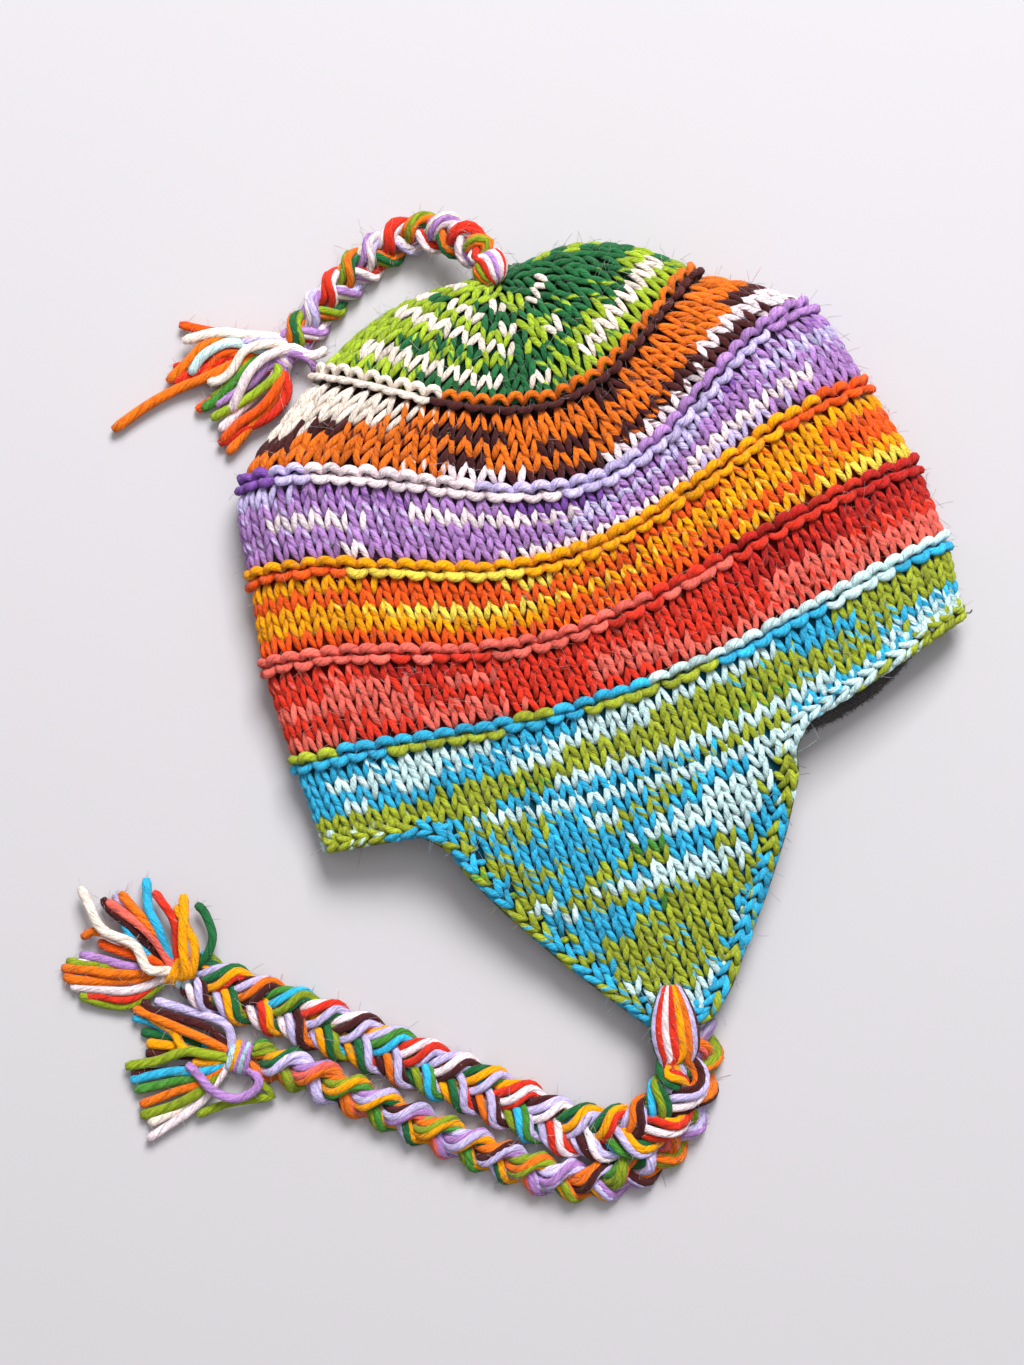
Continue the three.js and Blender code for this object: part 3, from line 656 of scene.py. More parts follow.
def pressed(rise, base, least, sunk):
    """Heights over the fabric. Towards the floor they shrink to the share least and sink by sunk mm."""
    press = np.clip(base[..., 2] / FOLD_HEIGHT, 0, 1)
    return rise * (least + (1 - least) * press) - sunk * (1 - press)


LEG_STATIONS = np.linspace(0, 1, 7)
LEG_MIDDLE = 3
# A stitch's leg at LEG_STATIONS: across in stitch widths, up in courses, its height over the fabric
# in mm, and its thickness
LEG_ACROSS = 0.08 + 0.37 * LEG_STATIONS
LEG_UP = -0.92 + 1.7 * LEG_STATIONS
LEG_HEIGHT = np.array((-1.2, -0.5, -0.1, -0.1, -0.35, -0.85, -1.6))
LEG_SIZE = np.array((0.36, 0.76, 0.98, 1.0, 0.95, 0.84, 0.6))


def leg_lines(rng, count, width):
    """Paths of the two legs of count stitches: across in stitch widths, up in courses."""
    sway = rng.normal(0, 0.035, (count, 1, 1))
    lean = rng.normal(0, 0.05, (count, 2, 1))
    side = np.array((-1, 1))[None, :, None]
    across = side * LEG_ACROSS + sway + lean * (LEG_STATIONS - 0.5)
    up = LEG_UP + rng.normal(0, 0.06, (count, 2, 1))
    rise = LEG_HEIGHT + rng.normal(0, 0.12, (count, 2, 1))
    size = LEG_SIZE * width * rng.normal(1, 0.06, (count, 2, 1))
    shape = (count, 2, len(LEG_STATIONS))
    return (np.broadcast_to(a, shape).reshape(-1, shape[2]) for a in (across, up, rise, size))


def knit_course(weave, v, pitch, chart, columns, sizes):
    """One course of stockinette round the cap at place v. pitch is the course's height in v."""
    turns, share, length = course_turns(v)
    across, up, rise, size = leg_lines(weave.rng, columns, sizes.leg)
    place = (np.repeat(np.arange(columns), 2) + 0.5)[:, None] + across
    turn = turn_of(place / columns, turns, share)
    row = np.clip(v + up * pitch, BELOW_RIM, SEAM + NEAR_APEX)
    base, normal = cap_point(row, turn), cap_normal(row, turn)
    lines = base + normal * pressed(rise, base, 0.5, 2.4)[..., None]
    middle = turn[:, LEG_MIDDLE]
    ply_a, ply_b = dyed(chart, np.repeat(chart_share(middle)[::2], 2), weave.rng)
    fit = min(1.15, length / columns / sizes.stitch)
    seen = (middle < UNDER_START) | (middle > UNDER_END)
    for mask, sides, keep in ((seen, SEEN_SIDES, 1), (~seen, HIDDEN_SIDES, 2)):
        weave.strands(
            lines[mask][:, ::keep], normal[mask][:, ::keep], fit * size[mask][:, ::keep],
            0.8 * size[mask][:, ::keep], ply_a[mask], ply_b[mask], sides=sides,
        )
    weave.fuzz(lines[seen], normal[seen], ply_a[seen], 1.2)


ARC_STATIONS = np.linspace(-1, 1, 9)
ARC_MIDDLE = 4
ARCH = np.cos(math.pi * ARC_STATIONS / 2)
# A purl loop at ARC_STATIONS: across in loops, up the cap and over the fabric in mm, and its
# thickness in legs
LOOP_ACROSS = 0.56 * np.sign(ARC_STATIONS) * np.abs(ARC_STATIONS) ** 0.8
LOOP_UP = 3.3 * ARCH**0.8 - 1.9
LOOP_HEIGHT = -3.0 + 4.4 * ARCH**0.7
LOOP_SIZE = 1.28 * (0.5 + 0.55 * ARCH**0.7)
RIDGE_LOOPS = 0.88  # loops of a ridge for each stitch of the course below
RIDGE_UNDER = 0.52  # turn from which a ridge's loops have no loose fibres
SLOPE = 1e-2  # step in v that turns millimetres up the cap into shares of a band
# The two rows of loops: which way they bend, where they start, in loops, and how high over the
# ridge's place their middles are and how far their tops stand out, in mm
RIDGE_ROWS = ((1, 0.0, 0.9, 0.5), (-1, 0.5, -1.5, 0.1))


def purl_ridge(weave, v, chart, columns, sizes, bulk=1.0):
    """Two interlocked rows of purl loops round the cap at place v, standing proud."""
    turns, share, _ = course_turns(v)
    rng = weave.rng
    loops = round(columns * RIDGE_LOOPS)
    for bend, start, middle, proud in RIDGE_ROWS:
        jitter = rng.normal(0, 0.05, (loops, 1))
        spread = LOOP_ACROSS * rng.normal(1, 0.07, (loops, 1))
        place = (np.arange(loops) + 0.5 + start)[:, None] + spread + jitter
        turn = turn_of(place / loops, turns, share)
        rise = cap_point(v + SLOPE, turn) - cap_point(v - SLOPE, turn)
        scale = np.linalg.norm(rise, axis=-1) / (2 * SLOPE)
        up = middle + bend * LOOP_UP + rng.normal(0, 0.3, (loops, 1))
        # At the folds, where the surface turns under, the loops lie closer to the ridge's middle
        up = up * np.clip(0.45 + 0.55 * cap_point(v, turn)[..., 2] / FOLD_HEIGHT, 0.45, 1)
        row = v + up / np.maximum(scale, 5)
        base, normal = cap_point(row, turn), cap_normal(row, turn)
        height = LOOP_HEIGHT + rng.normal(proud, 0.25, (loops, 1))
        lines = base + normal * pressed(height, base, 0, 3.0)[..., None]
        size = LOOP_SIZE * bulk * sizes.leg * rng.normal(1, 0.07, (loops, 1))
        ply_a, ply_b = dyed(chart, chart_share(turn[:, ARC_MIDDLE]), rng)
        # The upper row is in the first dye of the chart, the lower row in the second one
        ply_a, ply_b = (ply_a, 0.92 * ply_a) if bend > 0 else (ply_b, ply_b)
        weave.strands(lines, normal, size, 0.95 * size, ply_a, ply_b)
        seen = turn[:, ARC_MIDDLE] < RIDGE_UNDER
        weave.fuzz(lines[seen], normal[seen], ply_a[seen], 1.5)


def backing(weave, low, high, shade, cells=160, rows=8, closed=False):
    """The fabric behind the stitches, from place low to place high, closed there or not. Its colour
    shade is a dye darkened as painted shade, which shows in the gaps between the stitches.
    """
    turns = np.arange(cells) / cells
    places = np.linspace(low, high, rows)
    grid_v, grid_t = np.meshgrid(places, turns, indexing="ij")
    base, normal = cap_point(grid_v, grid_t), cap_normal(grid_v, grid_t)
    outer = base - BACK_DEPTH * normal
    inner = base - KNIT_WALL * normal
    if closed:
        lean = unit(normal[-1].mean(0))
        ends = np.array([APEX - 2 * KNIT_WALL * lean, APEX - 1.5 * lean])
        weave.wrap_sheet(np.concatenate([inner[::-1], outer]), shade, ends)
    else:
        weave.wrap_sheet(np.concatenate([outer, inner[::-1]]), shade)


class Sizes:
    """Sizes in millimetres, read from the scene's settings."""

    def __init__(self, context):
        settings = context.scene.hat_sizes
        self.stitch = settings.stitch_width / MM
        self.leg = settings.leg_width / MM / 2
        self.yarn = settings.braid_yarn / MM / 2


RIDGE_HALF = 0.125  # half of a ridge, as a share of a band
RIM_START = -0.02  # place where the lowest band's courses start


def knit_band(index, sizes):
    band = BANDS[index]
    weave = Weave(SEEDS["band"] + index)
    bottom = index + (RIDGE_HALF if index else RIM_START)
    top = index + 1 - RIDGE_HALF
    pitch = (top - bottom) / len(band["rows"])
    columns = round(course_turns(index + 0.5)[2] / sizes.stitch)
    for k, chart in enumerate(band["rows"]):
        knit_course(weave, top - (k + 0.5) * pitch, pitch, chart, columns, sizes)
    purl_ridge(weave, index + 1, band["ridge"], columns, sizes, band.get("bulk", 1.0))
    # The band's dye darkened to a quarter: painted shade that shows between the stitches
    backing(weave, index, index + 1, 0.25 * dye(band["under"]))
    return weave.mesh(band["name"], material_of(KNITTED))


CROWN_START, CROWN_END = 0.04, 0.96  # places of the crown's courses, over the seam
CROWN_RAISE = 0.005  # how much farther up its stitches lie, clear of the ridge
CROWN_STITCHES = 7  # fewest stitches of a course


def knit_crown(sizes):
    """The crown, whose number of stitches falls after every second course."""
    weave = Weave(SEEDS["crown"])
    pitch = (CROWN_END - CROWN_START) / len(CROWN_CHARTS)
    for k, chart in enumerate(CROWN_CHARTS):
        v = SEAM + CROWN_START + CROWN_RAISE + (k + 0.5) * pitch
        staged = course_turns(SEAM + CROWN_START + pitch * (2 * (k // 2) + 1))[2]
        length = min(staged, course_turns(v)[2] * 1.1)
        columns = max(CROWN_STITCHES, round(length / sizes.stitch))
        knit_course(weave, v, pitch, chart, columns, sizes)
    # The crown's dark green darkened to 0.3: painted shade that shows between the stitches
    backing(weave, SEAM, SEAM + 0.97, 0.3 * dye("d"), closed=True)
    return weave.mesh("crown", material_of(KNITTED))


FLAP_LEAN = 0.28  # how far the courses of a flap lean from its root, as a share of the way down
FLAP_MARGIN = 2.5  # from a flap's edge to the middle of its outermost stitches, in mm


def knit_flap(upper, sizes):
    name = "upper_flap" if upper else "lower_flap"
    weave = Weave(SEEDS[name])
    pitch = 1 / len(FLAP_CHARTS)
    sign = 1 if upper else -1
    reach = math.ceil(FLAP_WIDTH / 2 / sizes.stitch) + 1
    columns = FLAP_CENTRE + sizes.stitch * np.arange(-reach, reach + 1)
    lean = FLAP_LEAN * (columns - FLAP_CENTRE) / FLAP_LENGTH
    for k, chart in enumerate(FLAP_CHARTS):
        down = (k + 0.5) * pitch * (1 + lean)
        half, middle = flap_half(upper, down)
        inside = (np.abs(columns - middle) < half - FLAP_MARGIN) & (down < 1)
        if not inside.any():
            continue
        centre, down, half, middle = (
            np.repeat(values[inside], 2)[:, None] for values in (columns, down, half, middle)
        )
        across, up, rise, size = leg_lines(weave.rng, len(centre) // 2, sizes.leg)
        x = centre + across * sizes.stitch
        place = np.clip(down - up * pitch, -0.06, 1.02)
        step = flap_point(upper, x, place + 0.01) - flap_point(upper, x, place - 0.01)
        normal = unit(np.cross((1.0, 0, 0), step))
        normal = np.where(normal[..., 2:] * sign < 0, -normal, normal)
        # The hat lies on the lower flap, which presses its stitches flat
        rise = rise if upper else 0.4 * rise - 0.6
        edge_space = np.clip((half - np.abs(x - middle)) / 4, 0.25, 1)
        rise = rise - 0.6 * (1 - edge_space)
        lines = flap_point(upper, x, place) + normal * rise[..., None]
        spot = (centre - middle + half)[:, 0] / (2 * half[:, 0])
        ply_a, ply_b = dyed(chart, spot, weave.rng, stray=0.02)
        sides, keep = (SEEN_SIDES, 1) if upper else (HIDDEN_SIDES, 2)
        weave.strands(
            lines[:, ::keep], normal[:, ::keep], size[:, ::keep], 0.8 * size[:, ::keep], ply_a, ply_b,
            sides=sides,
        )
        if upper:
            weave.fuzz(lines, normal, ply_a, 0.9)
    flap_backing(weave, upper, sign)
    return weave.mesh(name + "_knitting", material_of(KNITTED))


def flap_backing(weave, upper, sign, across=24, rows=26):
    """The fabric behind a flap's stitches, as a closed slab: rings run round it from root to tip. Its
    dye is darkened as painted shade that shows between the stitches.
    """
    rings = []
    for down in np.linspace(0, 1, rows):
        half, middle = flap_half(upper, down)
        x = middle + (half - 0.2) * np.linspace(-1, 1, across)
        face = flap_point(upper, x, np.full(across, down))
        outer = face - sign * BACK_DEPTH * UP
        inner = face - sign * KNIT_WALL * UP
        ring = np.concatenate([outer, inner[::-1]])
        rings.append(ring if upper else ring[::-1])
    rings = np.array(rings)[::-1]
    ends = np.array([rings[0].mean(0), rings[-1].mean(0)])
    # Sky dye darkened to 0.22: painted shade between the stitches
    weave.wrap_sheet(rings, 0.22 * dye("s"), ends)


# ---- Edging


def edge_loop():
    """Line round the whole edge with a point on each mm, and directions out of it and of its face."""
    points, faces = [], []

    def rim(turns):
        points.append(cap_point(0, turns))
        faces.append(cap_normal(0, turns))

    for upper in (True, False):
        sign = 1 if upper else -1
        down = np.linspace(0, 1, 60) ** 1.2
        half, middle = flap_half(upper, down)
        before = flap_point(upper, middle - sign * half, down)
        after = flap_point(upper, middle + sign * half, down)[::-1]
        tip_x = middle[-1] + sign * half[-1] * np.linspace(-0.8, 0.8, 8)
        flap = np.concatenate([before, flap_point(upper, tip_x, np.ones(8)), after])
        first, last = (float(rim_turn(flap[i, 0], upper)) for i in (0, -1))
        start = 0 if upper else 0.5
        rim(np.linspace(start, first, 40)[:-1])
        points.append(flap)
        faces.append(np.broadcast_to(sign * UP, flap.shape))
        rim(np.linspace(last, start + 0.5, 60)[1:-1])
    points, faces = (np.concatenate([*parts, parts[0][:1]]) for parts in (points, faces))
    run = length_along(points)
    even = np.arange(0, run[-1], 1.0)
    kernel = np.ones(7) / 7

    def smooth(values):
        wide = np.concatenate([values[-3:], values, values[:3]])
        return np.stack([np.convolve(wide[:, k], kernel, "valid") for k in range(3)], -1)

    line = sampled(even, run, points)
    face = unit(smooth(smooth(sampled(even, run, faces))))
    along = unit(smooth(np.roll(line, -1, 0) - np.roll(line, 1, 0)))
    out = unit(np.cross(along, face))
    return {"line": line, "out": out, "face": unit(np.cross(out, along)), "total": run[-1]}


def on_edge(loop, along, out, high):
    """Points and faces at mm along the edge, mm out of the fabric and mm over its face."""

    def read(key):
        closed = np.concatenate([loop[key], loop[key][:1]])
        return sampled(along % loop["total"], np.arange(len(closed)), closed)

    face = unit(read("face"))
    aside = unit(read("out")) * (CLEARANCE + out)[..., None]
    return read("line") + aside + face * high[..., None], face


CROCHET_PITCH = 6.6  # width of one crochet stitch, in mm
# Lobes of one crochet stitch, in mm: where each starts and ends along and out, its height and bow.
# The size is a share of the yarn's.
CROCHET_LOBES = [
    {"start": (1.6, -4.4), "end": (-1.0, -0.6), "high": 0.0, "bow": 0.2, "size": 0.95},
    {"start": (-4.6, -2.0), "end": (3.4, 1.5), "high": 0.7, "bow": 0.7, "size": 1.0},
    {"start": (-4.6, 4.2), "end": (3.4, 1.3), "high": 0.7, "bow": 0.3, "size": 1.0},
    {"start": (-4.8, 3.4), "end": (5.2, 4.0), "high": -1.3, "bow": 0.5, "size": 1.0},
    {"start": (-3.8, 3.0), "end": (4.4, 3.8), "high": -3.2, "bow": 0.4, "size": 0.95},
]


def crochet_edging(sizes):
    weave = Weave(SEEDS["edging"])
    rng = weave.rng
    loop = edge_loop()
    total = loop["total"]
    count = round(total / CROCHET_PITCH)
    p = LEG_STATIONS
    hump = np.sin(math.pi * p)
    for number, lobe in enumerate(CROCHET_LOBES):
        jitter = rng.normal(0, 0.3, (count, 2, 1))
        (a0, o0), (a1, o1) = lobe["start"], lobe["end"]
        along = np.arange(count)[:, None] * total / count + a0 + (a1 - a0) * p + jitter[:, 0]
        out = o0 + (o1 - o0) * p + lobe["bow"] * hump + 0.6 * jitter[:, 1]
        high = lobe["high"] - 1.5 + 1.7 * hump + 0.5 * jitter[:, 0]
        lines, face = on_edge(loop, along, out, high)
        lines[..., 2] = np.maximum(lines[..., 2], sizes.leg * 0.55)
        size = sizes.leg * lobe["size"] * (0.55 + 0.45 * hump) * rng.normal(1, 0.07, (count, 1))
        middle = (along[:, LEG_MIDDLE] % total) / total
        spot = np.minimum(middle * 2, 2 - middle * 2) + 0.01 * number
        ply_a, ply_b = dyed(EDGING_CHART, np.clip(spot, 0, 1), rng, stray=0.006)
        weave.strands(lines, face, 1.1 * size, 0.99 * size, ply_a, ply_b, sides=6)
        weave.fuzz(lines, face, ply_a, 1.0)
    edging_core(weave, loop)
    return weave.mesh("crochet_edging", material_of("Wool, plied and crocheted"))


def edging_core(weave, loop, step=4, sides=8):
    """What the edging's lobes are worked round. Its dye is darkened as painted shade that shows between
    the lobes.
    """
    line, out, face = (loop[key][::step] for key in ("line", "out", "face"))
    centre = line + out * (CLEARANCE + TRIM_WIDTH / 2 - 0.4) - face * TRIM_THICKNESS / 2
    angle = TURN * np.arange(sides)[:, None] / sides
    aside = (TRIM_WIDTH / 2 - 0.9) * np.cos(angle) * out[:, None]
    above = (TRIM_THICKNESS / 2 - 0.5) * np.sin(angle) * face[:, None]
    # Olive darkened to a quarter: painted shade between the lobes
    weave.wrap_sheet(centre[:, None] + aside + above, 0.25 * dye("g"))


# ---- Lining

LINING_REACH = 0.7  # how far up the cap the fleece reaches, in bands
FRINGE = 1300  # tufts along the part that shows
# A loose thread that sticks out at the right end of the rim
LOOSE_THREAD = [(133.5, 2.5, 8), (136.4, 4.4, 8.5), (138.4, 4.0, 8), (139.6, 4.9, 8)]


def fleece_lining(cells=400, rows=9):
    weave = Weave(SEEDS["lining"])
    rng = weave.rng
    turns = np.arange(cells) / cells
    near = KNIT_WALL + CLEARANCE
    off = np.minimum(1, np.abs(turns - SHOW_MIDDLE) / SHOW_REACH)
    show = (1 + np.cos(math.pi * off)) / 2
    below = CLEARANCE + TRIM_WIDTH + LINING_SHOW  # how far below the rim it shows
    least = TRIM_THICKNESS + CLEARANCE  # height of the lining where it shows past the edging

    def row(place, inset):
        point = cap_point(place, turns) - cap_normal(place, turns) * inset
        if place == 0:
            point[:, 1] -= show * below
            point[:, 2] = np.where(show > 0, np.maximum(point[:, 2], least), point[:, 2])
        return point + rng.normal(0, 0.18, point.shape)

    places = np.linspace(0, LINING_REACH, rows)
    outer = [row(place, near) for place in places]
    inner = [row(place, near + LINING_THICKNESS) for place in places]
    weave.wrap_sheet(np.array(outer + inner[::-1]), dye("k"))
    spots = rng.uniform(SHOW_MIDDLE - SHOW_REACH, SHOW_MIDDLE + SHOW_REACH, FRINGE)
    at = rng.uniform(-0.08, 0.12, FRINGE)
    v = np.maximum(at, 0)
    base = cap_point(v, spots) - cap_normal(v, spots) * near
    base[:, 1] -= np.interp(spots, turns, show) * below * (at < 0.03)
    base[:, 2] = np.maximum(base[:, 2], least)
    heading = [rng.normal(mean, spread, FRINGE) for mean, spread in ((0, 1), (-0.7, 0.8), (0.3, 0.5))]
    heading = unit(np.stack(heading, -1))[:, None]
    p = np.linspace(0, 1, HAIR_STATIONS)[:, None]
    curl = rng.normal(0, 0.5, (FRINGE, 1, 3))
    reach = rng.uniform(0.5, 1.3, (FRINGE, 1, 1))
    lines = base[:, None] + reach * (heading * p + curl * p**2)
    tint = dye("k") * rng.uniform(0.6, 1.7, (FRINGE, 1))
    weave.strands(lines, np.array((0.2, 0.3, 1.0)), 0.12, 0.12, tint, tint, sides=3)
    thread, dark = smooth_line(LOOSE_THREAD, 10)[None], dye("k")[None]
    weave.strands(thread, UP, 0.35, 0.35, dark, dark, sides=6)
    return weave.mesh("fleece_band", material_of("Polyester fleece, brushed"))


# ---- Braids, wraps and tassels


# Centre lines, as in the part's source, but for the topknot's first six points: there the braid
# follows the photograph more closely, up to 6 mm off the source's line.
TIE_UPPER_ROUTE = [
    (-25.2, -93.1, 23.1), (-27.7, -102.3, 23.1), (-30.2, -111.9, 22.8), (-32.5, -122.7, 20.5),
    (-35.2, -131.9, 17.5), (-43, -138.4, 16.8), (-53.4, -142.7, 15), (-64.2, -142.4, 12.5),
    (-75.5, -138.9, 8.8), (-85.8, -132.5, 6.6), (-98.4, -120.4, 5.7), (-116.6, -102.5, 5.7),
    (-126.9, -93.2, 5.7), (-142.8, -78.6, 5.7), (-154.5, -68.6, 5.7), (-164.2, -60, 5.7),
    (-174.2, -51.2, 5.7), (-184.4, -43, 5.7), (-194.1, -34.6, 5.7), (-203, -26.5, 5.7),
]
TIE_LOWER_ROUTE = [
    (-20.9, -112.9, 5.6), (-22.5, -122.6, 5.6), (-25.9, -130.7, 5.6), (-30.5, -138.4, 5.6),
    (-36.5, -145.6, 5.6), (-43.7, -151.5, 5.6), (-53.4, -156.9, 5.6), (-65.7, -159.2, 5.6),
    (-78.2, -158.4, 5.6), (-94.5, -151.6, 5.6), (-112.9, -136.8, 5.6), (-128.7, -122.2, 5.6),
    (-144.3, -107.2, 5.6), (-160, -92.2, 5.6), (-175.5, -76.8, 5.6), (-192.5, -65.5, 5.6),
]
TOPKNOT_ROUTE = [
    (4.4, 189.5, 32.5), (3.4, 198.5, 31), (0.5, 208.5, 24), (-8, 217.5, 15.5), (-20, 222.5, 9),
    (-32, 220.8, 5.9), (-47.5, 215.7, 5.4), (-60.7, 208.7, 5.4), (-71.5, 202.1, 5.4),
    (-79.6, 197.4, 5.4),
]
BRAIDED = "Wool, soft spun and braided"
BRAID_STEP = 1.5  # between the stations of a braid's yarns, in mm
# Half width and half height of one braid strand's ring of yarns, in yarn widths
STRAND_WIDE = 1.3
STRAND_HIGH = 0.66
# Each cord's route and width, how far its strands swing to the sides and lift while they cross, and
# how long one round of the plait is. Along its drop the yarns hang loose in the shape of a teardrop
# before they are plaited. The braid is rolled about its line by an angle. All lengths are in mm.
CORDS = {
    "tie_upper": {
        "route": TIE_UPPER_ROUTE, "width": 18, "swing": 8.1, "lift": 2.8, "period": 42, "drop": 38,
        "roll": 0.0, "seed": 51,
    },
    "tie_lower": {
        "route": TIE_LOWER_ROUTE, "width": 18, "swing": 6.6, "lift": 2.9, "period": 40, "drop": 0,
        "roll": -0.7, "seed": 52,
    },
    "top": {
        "route": TOPKNOT_ROUTE, "width": 14.5, "swing": 5.6, "lift": 2.2, "period": 32, "drop": 14,
        "roll": -0.6, "seed": 53,
    },
}


def turned(a, b, angle):
    return a * np.cos(angle) - b * np.sin(angle), a * np.sin(angle) + b * np.cos(angle)


def level_frames(line):
    """Directions at each point of a line: level, across it, and the one square to both."""
    along = unit(np.gradient(line, axis=0))
    level = unit(np.stack([-along[:, 1], along[:, 0], np.zeros(len(line))], -1))
    return level, np.cross(along, level)


SHOWN_YARNS = 9  # yarns that lie over the teardrop. The others lie below it.


def hang(place, shown):
    """Across, in shares of the teardrop's half width, and height in mm of the yarn at a place."""
    turn = math.pi * (1 - place / shown) if place < shown else -math.pi * (place - shown) / (1 - shown)
    return math.cos(turn), 3.4 * math.sin(turn) if turn > 0 else -1.0


def braid(name, sizes):
    """Three strands of several yarns each, plaited along a route."""
    cord = CORDS[name]
    weave = Weave(cord["seed"])
    rng = weave.rng
    span = length_along(smooth_line(cord["route"], 200))[-1]
    count = int(span / BRAID_STEP)
    line = smooth_line(cord["route"], count)
    level, up = level_frames(line)
    s = np.linspace(0, span, count)
    yarn = sizes.yarn * (0.92 if name == "top" else 1)
    dyes = BRAID_DYES[name]
    total = sum(len(letters) for letters in dyes)
    drop = cord["drop"]
    # From hanging loose to plaited, over the last third of the drop
    ease = np.ones(count)
    if drop:
        ease = smoothstep(np.clip((s - 0.68 * drop) / max(0.32 * drop, 1), 0, 1))
    teardrop = 0.32 + 0.93 * np.sin(math.pi * np.clip(s / max(drop, 1), 0, 1)) ** 0.9
    lines, ply = [], []
    for k, letters in enumerate(dyes):
        phase = TURN * (s / cord["period"] + k / 3)
        # A rounded zigzag from side to side, which crosses over the middle twice in a round
        x = cord["swing"] * 0.9 * (np.sin(phase) - np.sin(3 * phase) / 9)
        z = -cord["lift"] * np.sin(2 * phase)
        middle = line + level * x[:, None] + up * z[:, None]
        run = unit(np.gradient(middle, axis=0))
        broad = unit(np.cross(up, run))
        high = np.cross(run, broad)
        # The flat strand folds over at each edge, where it stands upright and is squeezed
        fold = math.pi / 2 * (1 - np.cos(phase))
        squeeze = 1 - 0.3 * np.abs(np.sin(phase)) ** 3
        wide = STRAND_WIDE * (0.78 + 0.28 * np.abs(np.sin(2 * phase))) * squeeze
        twist = s / 33 + 0.5 * np.sin(s / 17 + k)
        for n, letter in enumerate(letters):
            angle = TURN * n / len(letters) + twist
            a = wide * (np.cos(angle) + 0.06 * rng.normal())
            b = STRAND_HIGH * (np.sin(angle) + 0.06 * rng.normal())
            a, b = turned(a, b, fold)
            braided = middle + 2 * yarn * (broad * a[:, None] + high * b[:, None])
            across, heap = hang(len(lines) / (total - 1), SHOWN_YARNS / total)
            lateral = cord["width"] / 2 * 0.74 * teardrop * across
            lift = heap * np.minimum(teardrop, 1) - 1.0
            hanging = line + level * lateral[:, None] + up * lift[:, None]
            lines.append(hanging + (braided - hanging) * ease[:, None])
            ply.append(dye(letter) * (1 + 0.06 * rng.normal()))
    lines, ply = np.array(lines) - line, np.array(ply)
    a, b = turned((lines * level).sum(-1), (lines * up).sum(-1), cord["roll"])
    if cord["roll"]:
        lines = a[..., None] * level + b[..., None] * up
    lines = lines + line
    lines[..., 2] = np.maximum(lines[..., 2], 0.8 * yarn)
    taper = np.clip(np.minimum(s, span - s) / 3 + 0.6, 0, 1)
    weave.strands(lines, up, yarn * taper, 0.95 * yarn * taper, ply, ply * 0.9, sides=8)
    halo = Weave(cord["seed"] + 30)
    away = unit(up + 0.9 * level * rng.choice((-1, 1), (len(lines), count, 1)))
    halo.fuzz(lines, away, ply, count * 0.65, reach=3.5)
    yarns = weave.mesh(name + "_braid_yarns", material_of(BRAIDED))
    fibres = halo.mesh(name + "_braid_fibres", material_of(BRAIDED))
    return yarns, fibres, span


